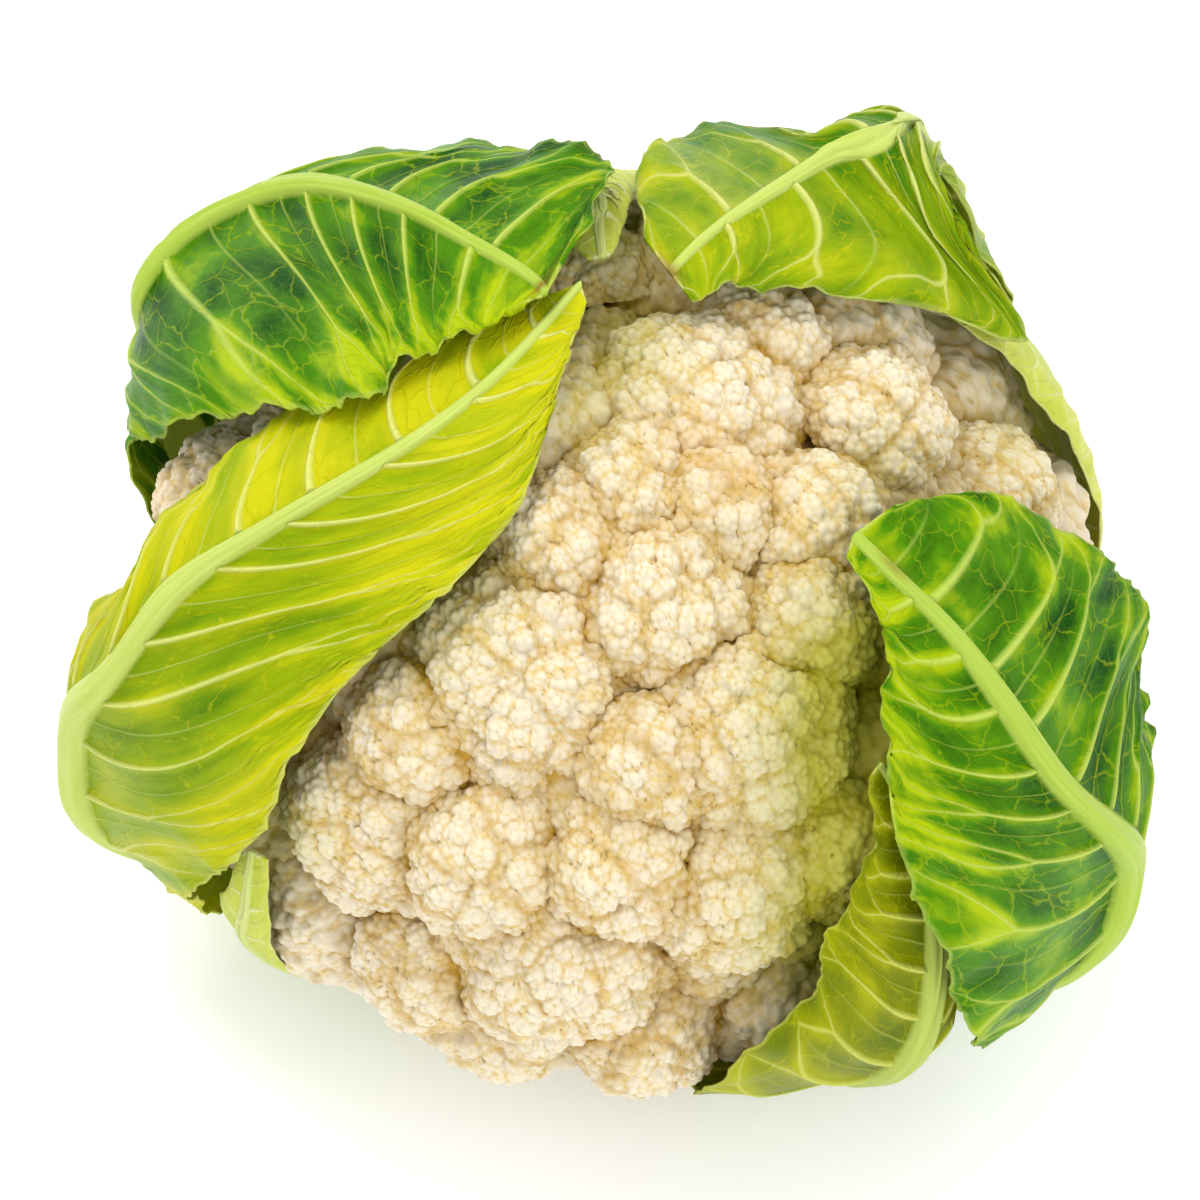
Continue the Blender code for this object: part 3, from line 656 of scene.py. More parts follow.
on_face = add_node(stem_tree, "ShaderNodeMath", {0: stem_height.outputs[2], 1: 0.0004}, operation="LESS_THAN")
stem_colour = add_node(
    stem_tree, "ShaderNodeMix", {0: on_face.outputs[0], 6: stem_skin.outputs[2], 7: stem_face.outputs[2]},
    data_type="RGBA",
)
stem_tree.links.new(stem_colour.outputs[2], stem_shader.inputs["Base Color"])
stem_shader.inputs["Roughness"].default_value = 0.45
stem_shader.inputs["Subsurface Weight"].default_value = 0.2
stem_shader.inputs["Subsurface Radius"].default_value = (0.8, 1.0, 0.4)
stem_shader.inputs["Subsurface Scale"].default_value = 0.0015

outline = np.array(STEM_OUTLINE)
walked = np.append(0.0, np.cumsum(np.linalg.norm(np.diff(outline, axis=0), axis=1)))
walk = np.linspace(0.0, walked[-1], STEM_ROWS)
stem_radius = np.interp(walk, walked, outline[:, 0])[:, None]
stem_up = np.interp(walk, walked, outline[:, 1])[:, None]
stem_turn = np.linspace(0.0, 2.0 * math.pi, STEM_COLUMNS, endpoint=False)[None]
on_side = np.clip((stem_radius - 18.0) / 4.0, 0.0, 1.0)
stem_relief = 1.0 - on_side * (
    0.012 * (1.0 + np.cos(STEM_RIBS * stem_turn + 0.06 * stem_up)) + 0.006 * (1.0 + np.cos(31.0 * stem_turn))
)
stem_points = np.stack(
    [
        stem_radius * stem_relief * np.cos(stem_turn),
        stem_radius * stem_relief * np.sin(stem_turn),
        stem_up * np.ones_like(stem_turn),
    ],
    axis=-1,
)
stem_quads, stem_fans = turned_quads(STEM_ROWS, STEM_COLUMNS)
new_piece(
    "cut_stem", np.concatenate([stem_points.reshape(-1, 3), [[0.0, 0.0, 17.0], [0.0, 0.0, 0.0]]]),
    stem_quads, stem_fans, stem_finish, "stem", {},
)

# Leaves: how every leaf is made. A blade a little under a millimetre thick, with a thick rounded rib on its
# outer face and side veins that leave the rib, curve towards the tip and thin out. It bulges between veins,
# and its margin is frilled and finely toothed.
CLEARED_DROP = 40.0
BLADE_THICKNESS = 0.85
CURVE_STEPS = 360
ROUNDING = 6.0
VEIN_ROWS = 18
RIB_COLUMNS = (0.0, 0.12, 0.24, 0.36, 0.48, 0.6, 0.7, 0.8, 0.88, 0.95, 1.0)
RIB_GROOVE = 0.3
BLADE_STEPS = 28
ARCH = 2.2
VEIN_RISE = 1.2
VEIN_HALF_WIDTH = 1.15
MINOR_VEIN_RISE = 0.3
PUCKER = 0.8
TOOTH_LENGTH = 4.4
FORK_SPREAD = 12.0
CALM_BEND = 9.0


def at(bearing, radius, height):
    """A place by its bearing in degrees and distance from the stem's axis, and its height above the table."""
    angle = math.radians(bearing)
    return np.array([radius * math.cos(angle), radius * math.sin(angle), height])


def kept_out(points, lift):
    """Points inside the dome raised by lift move straight out from its middle to its surface."""
    share = np.maximum(dome_share(points, lift, CLEARED_DROP), 1e-6)[..., None]
    return np.where(share < 1.0, CENTRE + (points - CENTRE) / share, points)


def curve_at(stations, place):
    """Catmull-Rom cubic through evenly spaced stations, read at places from 0 to 1."""
    padded = np.concatenate([2 * stations[:1] - stations[1:2], stations, 2 * stations[-1:] - stations[-2:-1]])
    spot = np.clip(place, 0.0, 1.0) * (len(stations) - 1)
    first = np.minimum(spot.astype(int), len(stations) - 2)
    share = (spot - first)[..., None]
    before, start, end, after = (padded[first + step] for step in range(4))
    return 0.5 * (
        2.0 * start
        + (end - before) * share
        + (2.0 * before - 5.0 * start + 4.0 * end - after) * share**2
        + (3.0 * start - before - 3.0 * end + after) * share**3
    )


def rounded(stations, length):
    """The curve through stations at CURVE_STEPS places, averaged by a bell so that its bends have a radius."""
    fine = curve_at(stations, np.linspace(0.0, 1.0, CURVE_STEPS))
    reach = max(2, round(2.0 * ROUNDING / length * CURVE_STEPS))
    bell = np.hanning(2 * reach + 1)
    before = 2.0 * fine[0] - fine[reach:0:-1]
    after = 2.0 * fine[-1] - fine[-2:-reach - 2:-1]
    padded = np.concatenate([before, fine, after])
    return np.stack([np.convolve(padded[:, axis], bell / bell.sum(), "valid") for axis in range(3)], axis=1)


def read_at(fine, place):
    """Places from 0 to 1 along a finely drawn curve, in a straight line between its points."""
    spot = place * (len(fine) - 1)
    first = np.minimum(spot.astype(int), len(fine) - 2)
    share = (spot - first)[..., None]
    return fine[first] * (1.0 - share) + fine[first + 1] * share


def vein_rows(length, spacing, draw):
    """Row places along the rib, crowded at each vein by step - a sin(2 pi step) - b sin(4 pi step).

    Returns the places as shares of the length, and each row's distance in millimetres from the nearest vein
    and from the nearest half-way line, where a minor vein runs.
    """
    gaps = spacing * draw.uniform(0.8, 1.2, max(3, round(length / spacing)))
    gaps *= length / gaps.sum()
    step = np.arange(VEIN_ROWS) / VEIN_ROWS
    crowded = step - 0.04 * np.sin(2.0 * math.pi * step) - 0.045 * np.sin(4.0 * math.pi * step)
    starts = np.append(0.0, np.cumsum(gaps))[:-1]
    places = (starts[:, None] + gaps[:, None] * crowded).ravel()
    from_vein = (gaps[:, None] * np.minimum(crowded, 1.0 - crowded)).ravel()
    from_middle = (gaps[:, None] * np.abs(crowded - 0.5)).ravel()
    share = np.tile(crowded, len(gaps))
    ends = (np.append(places, length) / length, np.append(from_vein, 0.0), np.append(from_middle, 0.5 * gaps[-1]))
    return (*ends, np.append(share, 0.0))


def surface_normals(grid):
    """Cross product of the steps across and along the grid, which points out of the leaf's outer face."""
    return unit(np.cross(np.gradient(grid, axis=1), np.gradient(grid, axis=0)))


def calm_share(grid, outward):
    """1 where the leaf is nearly flat along its rows, falling to 0 where it turns within a few millimetres."""
    steps = np.linalg.norm(np.gradient(grid, axis=0), axis=-1)
    turned = np.linalg.norm(np.gradient(outward, axis=0), axis=-1)
    bend = turned / np.maximum(steps, 0.05)
    window = np.hanning(2 * VEIN_ROWS + 1)
    padded = np.pad(bend, ((VEIN_ROWS, VEIN_ROWS), (0, 0)), mode="edge")
    bend = np.stack([np.convolve(line, window / window.sum(), "valid") for line in padded.T], axis=1)
    return 1.0 / (1.0 + (bend * CALM_BEND) ** 2)


def softened(grid, calm):
    """Where calm is low, each place is drawn to the bell-weighted mean of the six rows before and after it."""
    weights = np.hanning(15)[1:-1]
    padded = np.pad(grid, ((6, 6), (0, 0), (0, 0)), mode="edge")
    mean = sum(weight * padded[step:step + len(grid)] for step, weight in enumerate(weights / weights.sum()))
    bent = smooth_step(0.5, 0.15, calm)[..., None]
    return grid * (1.0 - bent) + mean * bent


def leaf_surface(stations, layer, rib_half_widths, rib_rises, slant, vein_spacing, frill, seed, relief=1.0):
    """Outer and inner face of a leaf, with its attributes.

    Rows are the veins' own lines: they start at the rib and run ahead by slant x 4s(1-s) x across^1.5. A place
    is rib + (margin - rib) x across, raised by an arch, by the frill near the margin, and by puckers. All of
    these fade where the leaf is bent, by 1 / (1 + (bend x CALM_BEND)^2).
    """
    draw = np.random.default_rng(seed)
    stations = np.array(stations)
    rough_rib = curve_at(stations[:, 1], np.linspace(0.0, 1.0, CURVE_STEPS))
    length = np.linalg.norm(np.diff(rough_rib, axis=0), axis=1).sum()
    left, rib, right = (rounded(stations[:, line], length) for line in range(3))
    walked = np.append(0.0, np.cumsum(np.linalg.norm(np.diff(rib, axis=0), axis=1)))
    length = walked[-1]
    share_of_length, from_vein, from_middle, between = vein_rows(length, vein_spacing, draw)
    rows = np.interp(share_of_length * length, walked, np.linspace(0.0, 1.0, CURVE_STEPS))[:, None]
    half = np.array(RIB_COLUMNS)
    blade = np.linspace(0.0, 1.0, BLADE_STEPS)[1:]
    blade = np.append(0.008, blade + 0.04 * np.sin(2.0 * math.pi * blade))
    on_rib = np.concatenate([np.ones(BLADE_STEPS), half[::-1], half[1:], np.ones(BLADE_STEPS)])
    on_blade = np.concatenate([blade[::-1], np.zeros(2 * len(half) - 1), blade])
    side = np.concatenate([-np.ones(BLADE_STEPS + len(half) - 1), np.ones(BLADE_STEPS + len(half))])
    width = np.where(
        side < 0.0,
        np.linalg.norm(read_at(left, rows) - read_at(rib, rows), axis=-1),
        np.linalg.norm(read_at(right, rows) - read_at(rib, rows), axis=-1),
    )
    rib_half = rib_half_widths[1] + (rib_half_widths[0] - rib_half_widths[1]) * (1.0 - rows) ** 1.35
    rib_share = np.minimum(rib_half / np.maximum(width, 0.1), 0.6)
    across = rib_share * on_rib + (1.0 - rib_share) * on_blade
    ease = 4.0 * rows * (1.0 - rows)
    vein_places = np.linspace(0.0, 1.0, max(4, round(length / vein_spacing)))
    own_slant = [
        np.interp(rows[:, 0], vein_places, whole * draw.uniform(0.82, 1.16, len(vein_places)))[:, None]
        for whole in slant
    ]
    run_ahead = np.where(side < 0.0, own_slant[0], own_slant[1]) * ease * across**1.5
    offset = 0.5 * vein_spacing / length * ease * (side < 0.0)
    run_ahead = run_ahead + offset * smooth_step(0.0, 1.0, on_rib)
    phases = draw.uniform(0.0, 2.0 * math.pi, 8)
    wobble = np.sin(9.0 * rows + 5.0 * across * side + phases[0]) + np.sin(17.0 * rows - 7.0 * across + phases[1])
    run_ahead = run_ahead + 0.005 * wobble * ease * across
    place = np.clip(rows + run_ahead, 0.0, 1.0)
    middle = read_at(rib, place)
    margin = np.where((side < 0.0)[None, :, None], read_at(left, place), read_at(right, place))
    run = place * length
    tooth = np.abs(np.sin(math.pi * (run / TOOTH_LENGTH + 0.5 * np.sin(run / 9.0 + phases[2]))))
    nibble = across**8 * (0.022 * tooth + 0.022 * (1.0 + np.sin(run / 13.0 + side + phases[3])))
    grid = middle + (margin - middle) * (across * (1.0 - nibble))[..., None]
    calm = calm_share(grid, surface_normals(grid))
    grid = softened(grid, calm)
    outward = surface_normals(grid)
    flatter = np.sqrt(calm)
    calm = calm * np.minimum(1.0, width / 22.0)
    wave = np.sin(2.0 * math.pi * run / 24.0 + 1.7 * side + phases[4])
    ripple = np.sin(2.0 * math.pi * run / 8.5 + 2.3 * side + phases[5])
    curl = frill * across**4 * (0.2 + wave + 0.35 * ripple)
    arch = ARCH * 4.0 * across * (1.0 - across) * ease
    fade = smooth_step(0.0, 0.12, on_blade) * (1.0 - 0.5 * on_blade) * np.minimum(1.0, 2.0 * ease)
    pucker = -relief * PUCKER * np.sin(math.pi * between)[:, None] ** 2 * fade
    grid = kept_out(grid + outward * (calm * (curl + arch + pucker))[..., None], layer)
    outward = surface_normals(grid)
    narrow = np.minimum(1.0, rib_share * width / rib_half).min(axis=1, keepdims=True)
    rise = (rib_rises[0] + (rib_rises[1] - rib_rises[0]) * rows) * np.sqrt(narrow)
    groove = RIB_GROOVE * np.minimum(1.0, rise / 2.5) * (1.0 - np.cos(3.0 * math.pi * on_rib)) * (1.0 - on_rib)
    ridge = rise * (1.0 - on_rib**2.2) ** 0.8 - groove
    taper = 1.0 - 0.75 * on_blade
    vein = np.exp(-((from_vein[:, None] / (VEIN_HALF_WIDTH * taper)) ** 2)) * (on_rib >= 1.0)
    minor = np.exp(-((from_middle[:, None] / (0.5 * taper)) ** 2)) * (on_rib >= 1.0)
    whole = 1.0 - smooth_step(0.55, 0.8, on_blade)
    veins = relief * (VEIN_RISE * vein * whole + MINOR_VEIN_RISE * minor) * taper * np.minimum(1.0, 2.0 * ease)
    thickness = BLADE_THICKNESS * (1.0 - 0.4 * on_blade**4)
    outer = grid + outward * (thickness + flatter * np.maximum(ridge, 0.0) + veins)[..., None]
    inner = grid + outward * 0.08
    marks = {
        "rib": smooth_step(1.05, 0.9, on_rib + 8.0 * on_blade) * np.ones_like(rows),
        "across": side * across,
        "along": place,
        "blade": np.stack([side * across * width, rows * length + 0.0 * across, side * 40.0 + 0.0 * rows], axis=-1),
        "veins": np.stack(
            np.broadcast_arrays(from_vein[:, None], from_middle[:, None], on_blade[None]), axis=-1
        ),
    }
    return outer, inner, marks


def make_leaf(name, finish, faces, extra):
    """Outer and inner face of a leaf, joined round their rims."""
    outer, inner, marks = faces
    rows, columns = outer.shape[:2]
    count = rows * columns
    quads = grid_quads(rows, columns)
    rim = rim_of(rows, columns)
    after = np.roll(rim, -1)
    wall = np.stack([after, rim, rim + count, after + count], axis=1)
    marks = {**marks, **extra}
    doubled = {
        label: np.concatenate([values.reshape(count, -1)] * 2).reshape(
            (2 * count,) + (() if values.ndim == 2 else (3,))
        )
        for label, values in marks.items()
    }
    return new_piece(
        f"{name}_blade", np.concatenate([outer.reshape(-1, 3), inner.reshape(-1, 3)]),
        np.concatenate([quads, quads[:, ::-1] + count, wall]), np.zeros((0, 3), int), finish, name, doubled,
    )


def spots(marks, places):
    """Sum of soft spots over the leaf: amount x exp(-(along / length)^2 - (across / width)^2)."""
    total = np.zeros_like(marks["along"])
    for along, across, length, width, amount in places:
        total += amount * np.exp(
            -(((marks["along"] - along) / length) ** 2) - ((marks["across"] - across) / width) ** 2
        )
    return total


# Sums of the leaf material: a name for the result, the operation, and its terms by name or as numbers. A side
# vein is one line to about half way out, and then two that part, swaying by a millimetre or so.
LEAF_SUMS = (
    ("swayed", "MULTIPLY_ADD", "sway", 0.8, "out"),
    ("past fork", "SUBTRACT", "swayed", 0.92),
    ("past fork", "MAXIMUM", "past fork", 0.0),
    ("parted", "MULTIPLY", "past fork", FORK_SPREAD),
    ("from line", "SUBTRACT", "from vein", "parted"),
    ("from line", "ABSOLUTE", "from line"),
    ("half width", "MULTIPLY_ADD", "out", -0.8, 1.15),
    ("vein", "DIVIDE", "from line", "half width"),
    ("vein", "SUBTRACT", 1.0, "vein"),
    ("vein", "MAXIMUM", "vein", 0.0),
    ("vein", "POWER", "vein", 0.7),
    ("strength", "MULTIPLY_ADD", "out", -0.5, 0.95),
    ("vein", "MULTIPLY", "vein", "strength"),
    ("minor", "DIVIDE", "from middle", 0.55),
    ("minor", "SUBTRACT", 1.0, "minor"),
    ("minor", "MAXIMUM", "minor", 0.0),
    ("minor strength", "MULTIPLY_ADD", "out", -0.4, 0.42),
    ("minor", "MULTIPLY", "minor", "minor strength"),
    ("forks", "MAXIMUM", "vein", "minor"),
    ("net lines", "MAXIMUM", "net", "fine net"),
    ("lines", "MAXIMUM", "forks", "margin"),
    ("halo", "DIVIDE", "from line", 3.5),
    ("halo", "SUBTRACT", 1.0, "halo"),
    ("halo", "MAXIMUM", "halo", 0.0),
    ("halo", "MULTIPLY", "halo", "patchy"),
    ("tone", "ADD", "green", "swing"),
    ("tone", "SUBTRACT", "tone", "halo"),
    ("raised", "ADD", "net lines", "forks"),
    ("off rib", "SUBTRACT", 1.0, "rib"),
    ("raised", "MULTIPLY", "raised", "off rib"),
)


def leaf_material(name, light, middle, dark, vein_colour, rib_colours, gloss, patchy):
    """A waxed leaf. Its colour runs light, middle, dark by the mark "green", and veins and a net of fine
    veins, whose cells are about 8 mm and 2.5 mm, are paler and stand out a little."""
    made = bpy.data.materials.new(name)
    made.use_nodes = True
    tree = made.node_tree
    shader = tree.nodes["Principled BSDF"]
    blade = add_node(tree, "ShaderNodeAttribute", attribute_name="blade").outputs["Vector"]
    green = add_node(tree, "ShaderNodeAttribute", attribute_name="green").outputs["Fac"]
    rib = add_node(tree, "ShaderNodeAttribute", attribute_name="rib").outputs["Fac"]
    scar = add_node(tree, "ShaderNodeAttribute", attribute_name="scar").outputs["Fac"]
    vein_places = add_node(tree, "ShaderNodeAttribute", attribute_name="veins").outputs["Vector"]
    beside = add_node(tree, "ShaderNodeSeparateXYZ", {"Vector": vein_places})

    bend = add_node(tree, "ShaderNodeTexNoise", {"Vector": blade, "Scale": 0.16, "Detail": 2.0})
    slow = add_node(tree, "ShaderNodeTexNoise", {"Vector": blade, "Scale": 0.05, "Detail": 0.0})
    sway = add_node(tree, "ShaderNodeSeparateXYZ", {"Vector": slow.outputs[1]})
    margin = add_node(tree, "ShaderNodeMapRange", {"Value": beside.outputs[2], 1: 0.965, 2: 1.0, 3: 0.0, 4: 0.5})
    mottle = add_node(tree, "ShaderNodeTexNoise", {"Vector": blade, "Scale": 0.07, "Detail": 4.0})
    swing = add_node(tree, "ShaderNodeMapRange", {"Value": mottle.outputs[0], 1: 0.3, 2: 0.7, 3: -patchy, 4: patchy})
    warped = add_node(tree, "ShaderNodeVectorMath", {0: bend.outputs[1], "Scale": 6.0}, operation="SCALE")
    wandering = add_node(tree, "ShaderNodeVectorMath", {0: blade, 1: warped.outputs[0]}, operation="ADD")
    net = add_node(
        tree, "ShaderNodeTexVoronoi", {"Vector": wandering.outputs[0], "Scale": 0.11}, feature="DISTANCE_TO_EDGE"
    )
    fine = add_node(
        tree, "ShaderNodeTexVoronoi", {"Vector": wandering.outputs[0], "Scale": 0.38}, feature="DISTANCE_TO_EDGE"
    )
    net_line = add_node(tree, "ShaderNodeMapRange", {"Value": net.outputs[0], 1: 0.0, 2: 0.035, 3: 0.42, 4: 0.0})
    fine_line = add_node(tree, "ShaderNodeMapRange", {"Value": fine.outputs[0], 1: 0.0, 2: 0.06, 3: 0.1, 4: 0.0})
    sums = {
        "from vein": beside.outputs[0], "from middle": beside.outputs[1], "out": beside.outputs[2],
        "sway": sway.outputs[1], "margin": margin.outputs[0], "green": green, "swing": swing.outputs[0],
        "net": net_line.outputs[0], "fine net": fine_line.outputs[0], "rib": rib, "patchy": patchy,
    }
    for result, operation, *terms in LEAF_SUMS:
        inputs = {place: sums.get(term, term) for place, term in enumerate(terms)}
        sums[result] = add_node(tree, "ShaderNodeMath", inputs, operation=operation).outputs[0]
    ramp = add_node(tree, "ShaderNodeValToRGB", {"Fac": sums["tone"]})
    ramp.color_ramp.elements[0].color = linear(light)
    ramp.color_ramp.elements[1].color = linear(dark)
    ramp.color_ramp.elements.new(0.45).color = linear(middle)
    netted = add_node(
        tree, "ShaderNodeMix", {0: sums["net lines"], 6: ramp.outputs[0], 7: linear(light)}, data_type="RGBA"
    )
    veined = add_node(
        tree, "ShaderNodeMix", {0: sums["lines"], 6: netted.outputs[2], 7: linear(vein_colour)},
        data_type="RGBA",
    )
    streaks = add_node(
        tree, "ShaderNodeVectorMath", {0: blade, 1: (1.6, 0.06, 1.0)}, operation="MULTIPLY"
    )
    streak = add_node(tree, "ShaderNodeTexNoise", {"Vector": streaks.outputs[0], "Scale": 1.0, "Detail": 2.0})
    ribbed = add_node(
        tree, "ShaderNodeMix", {0: streak.outputs[0], 6: linear(rib_colours[0]), 7: linear(rib_colours[1])},
        data_type="RGBA",
    )
    with_rib = add_node(
        tree, "ShaderNodeMix", {0: rib, 6: veined.outputs[2], 7: ribbed.outputs[2]}, data_type="RGBA"
    )
    scarred = add_node(
        tree, "ShaderNodeMix", {0: scar, 6: with_rib.outputs[2], 7: linear("#7A4A1E")}, data_type="RGBA"
    )
    tree.links.new(scarred.outputs[2], shader.inputs["Base Color"])
    bump = add_node(tree, "ShaderNodeBump", {"Height": sums["raised"], "Strength": 0.6, "Distance": 0.0006})
    tree.links.new(bump.outputs[0], shader.inputs["Normal"])
    shader.inputs["Roughness"].default_value = gloss
    shader.inputs["IOR"].default_value = 1.42
    shader.inputs["Specular IOR Level"].default_value = 0.05
    shader.inputs["Subsurface Weight"].default_value = 0.12
    shader.inputs["Subsurface Radius"].default_value = (0.5, 1.0, 0.15)
    shader.inputs["Subsurface Scale"].default_value = 0.0012
    return made


# Left leaf, the largest. It leaves the stem, comes up outside the head on the left, is bent sharply, and lies
# over the open face with its tip at the top. Waxy yellow-green, greener along the rib and low down.
light_leaf = leaf_material(
    "waxy_light_leaf", "#BCBA0E", "#889E06", "#3A7006", "#CCD07A", ("#C2CE74", "#A8BA48"), 0.36, 0.3
)
leaf_left_faces = leaf_surface(
    (
        (at(176, 24, 14.5), at(195, 25.5, 12), at(214, 24, 14.5)),
        (at(178, 46, 21), at(194, 48, 16), at(210, 46, 21)),
        (at(178, 74, 30), at(192, 80, 22), at(207, 74, 28)),
        (at(178, 97, 46), at(191, 101, 37), at(207, 88, 38)),
        (at(180, 99, 66), at(191, 103, 62), at(214, 93, 66)),
        (at(182, 97, 86), at(193, 102, 82), seen(-68, -36, 5)),
        (seen(-90, 13, 13), seen(-94, -6, 15), seen(-55, -14, 4)),
        (seen(-87, 22, 10), seen(-80, 11, 12), seen(-43, -1, 3)),
        (seen(-76, 32, 9), seen(-61, 23, 9), seen(-31, 11, 3)),
        (seen(-61, 45, 5), seen(-39, 36, 7), seen(-18, 27, 3)),
        (seen(-37, 55, 4), seen(-24, 48, 5), seen(-13, 44, 3)),
        (seen(-13, 64, 4), seen(-9, 65, 4), seen(-8, 61, 3)),
    ),
    3.0, (7.5, 0.9), (5.5, 0.8), (0.16, 0.2), 19.0, 1.6, 101,
)
green = 0.18 + spots(
    leaf_left_faces[2], ((0.2, 0.0, 0.25, 1.2, 0.4), (0.56, 0.5, 0.13, 0.5, 0.4), (0.72, 0.1, 0.25, 0.2, 0.25))
)
make_leaf(
    "leaf_left", light_leaf, leaf_left_faces,
    {"green": green, "scar": 0.0 * green},
)

# Back left leaf. It stands up behind the head, is bent over, and its lower half lies on the left leaf's
# margin. Dark green with yellow-green margins and a brown scar near its tip.
dark_leaf = leaf_material(
    "waxy_dark_leaf", "#A0B408", "#487E04", "#104603", "#B4C45A", ("#B2C45C", "#8CAA28"), 0.34, 0.42
)
leaf_back_left_faces = leaf_surface(
    (
        (at(129, 24, 14.5), at(148, 25.5, 12), at(167, 24, 14.5)),
        (at(132, 46, 21), at(148, 48, 16), at(164, 46, 21)),
        (at(134, 74, 31), at(147, 80, 24), at(160, 74, 31)),
        (at(134, 98, 54), at(146, 103, 48), at(159, 98, 56)),
        (at(137, 99, 82), at(145, 106, 76), at(157, 99, 80)),
        (seen(-84, 74, 20), seen(-89, 66, 21), seen(-89, 37, 11)),
        (seen(-70, 83, 16), seen(-80, 77, 20), seen(-75, 40, 11)),
        (seen(-52, 91, 12), seen(-61, 84, 18), seen(-59, 41, 10)),
        (seen(-35, 93, 12), seen(-43, 80, 14), seen(-47, 44, 10)),
        (seen(-18, 92, 12), seen(-28, 72, 12), seen(-40, 51, 10)),
        (seen(-2, 89, 10), seen(-18, 66, 10), seen(-30, 55, 10)),
        (seen(-9, 75, 10), seen(-15, 63, 9), seen(-20, 61, 9)),
    ),
    8.5, (7.5, 0.9), (5.5, 0.8), (0.14, 0.16), 18.0, 1.6, 102,
)
green = 0.72 + spots(leaf_back_left_faces[2], ((0.75, 1.0, 0.35, 0.35, -0.45), (0.92, 0.5, 0.1, 0.6, -0.5)))
scar = spots(leaf_back_left_faces[2], ((0.96, 0.0, 0.012, 0.25, 0.8),))
make_leaf("leaf_back_left", dark_leaf, leaf_back_left_faces, {"green": green, "scar": scar})

# Back right leaf. It stands up behind the head on the right and is bent over its top, with its tip turned
# down. Yellow-green with a dark patch at the top.
leaf_back_right_faces = leaf_surface(
    (
        (at(44, 24, 14.5), at(62, 25.5, 12), at(80, 24, 14.5)),
        (at(46, 46, 21), at(62, 48, 16), at(78, 46, 21)),
        (at(48, 74, 31), at(61, 80, 24), at(74, 74, 31)),
        (at(46, 98, 54), at(60, 104, 48), at(74, 98, 54)),
        (at(44, 98, 84), at(60, 108, 82), at(70, 101, 86)),
        (seen(56, 88, 20), seen(52, 96, 22), seen(47, 100, 19)),
        (seen(64, 72, 14), seen(45, 93, 20), seen(41, 98.5, 18)),
        (seen(74, 54, 8), seen(37, 90, 15), seen(34, 94, 16)),
        (seen(56, 60, 6), seen(30, 85, 12), seen(24, 97, 12)),
        (seen(35, 63, 5), seen(21, 79, 9), seen(11, 96, 9)),
        (seen(20, 65, 5), seen(13, 73, 7), seen(1, 89, 7)),
        (seen(11, 62, 4), seen(7, 67, 5), seen(2, 74, 5)),
    ),
    3.5, (5.2, 0.9), (3.8, 0.8), (0.16, 0.14), 18.0, 1.5, 103,
)
green = 0.72 + spots(
    leaf_back_right_faces[2], ((0.55, 0.3, 0.2, 0.5, 0.35), (0.85, 0.0, 0.2, 1.0, -0.2), (0.76, 0.9, 0.07, 0.3, 0.6))
)
scar = spots(leaf_back_right_faces[2], ((1.0, 0.0, 0.015, 0.4, 0.7),))
make_leaf("leaf_back_right", light_leaf, leaf_back_right_faces, {"green": green, "scar": scar})

# Right leaf. It comes out under the head to the right, is bent sharply, and lies back over it with the tip on
# the open face. Dark green, lighter on the half near the middle, with brown streaks on the rib near its tip.
leaf_right_faces = leaf_surface(
    (
        (at(-40, 24, 14.5), at(-22, 25.5, 12), at(-4, 24, 14.5)),
        (at(-41, 52, 22), at(-27, 54, 17), at(-12, 52, 23)),
        (at(-41, 80, 27), at(-31, 83, 22), at(-16, 80, 30)),
        (at(-47, 94, 38), at(-27, 97, 36), at(-13, 95, 45)),
        (at(-54, 101, 60), at(-24, 99, 56), at(-10, 96, 62)),
        (seen(55, -58, 13), at(-28, 99, 76), at(-12, 96, 74)),
        (seen(49, -41, 12), seen(76, -24, 11), at(-11, 95, 83)),
        (seen(45, -28, 9), seen(66, -10, 12), at(-3, 95, 93)),
        (seen(44, -10, 8), seen(56, 3, 9), seen(84, 18, 8)),
        (seen(45, 3, 7), seen(47, 12, 8), seen(66, 28, 7)),
        (seen(38, 16, 7), seen(39, 20, 7), seen(47, 26, 7)),
    ),
    5.0, (7.5, 1.4), (5.5, 1.0), (0.16, 0.16), 17.0, 1.5, 104,
)
green = 0.68 + spots(leaf_right_faces[2], ((0.85, -1.0, 0.3, 0.6, -0.35), (1.0, 0.0, 0.15, 1.0, -0.3)))
scar = spots(leaf_right_faces[2], ((0.92, 0.02, 0.03, 0.05, 0.45),))
make_leaf("leaf_right", dark_leaf, leaf_right_faces, {"green": green, "scar": scar})

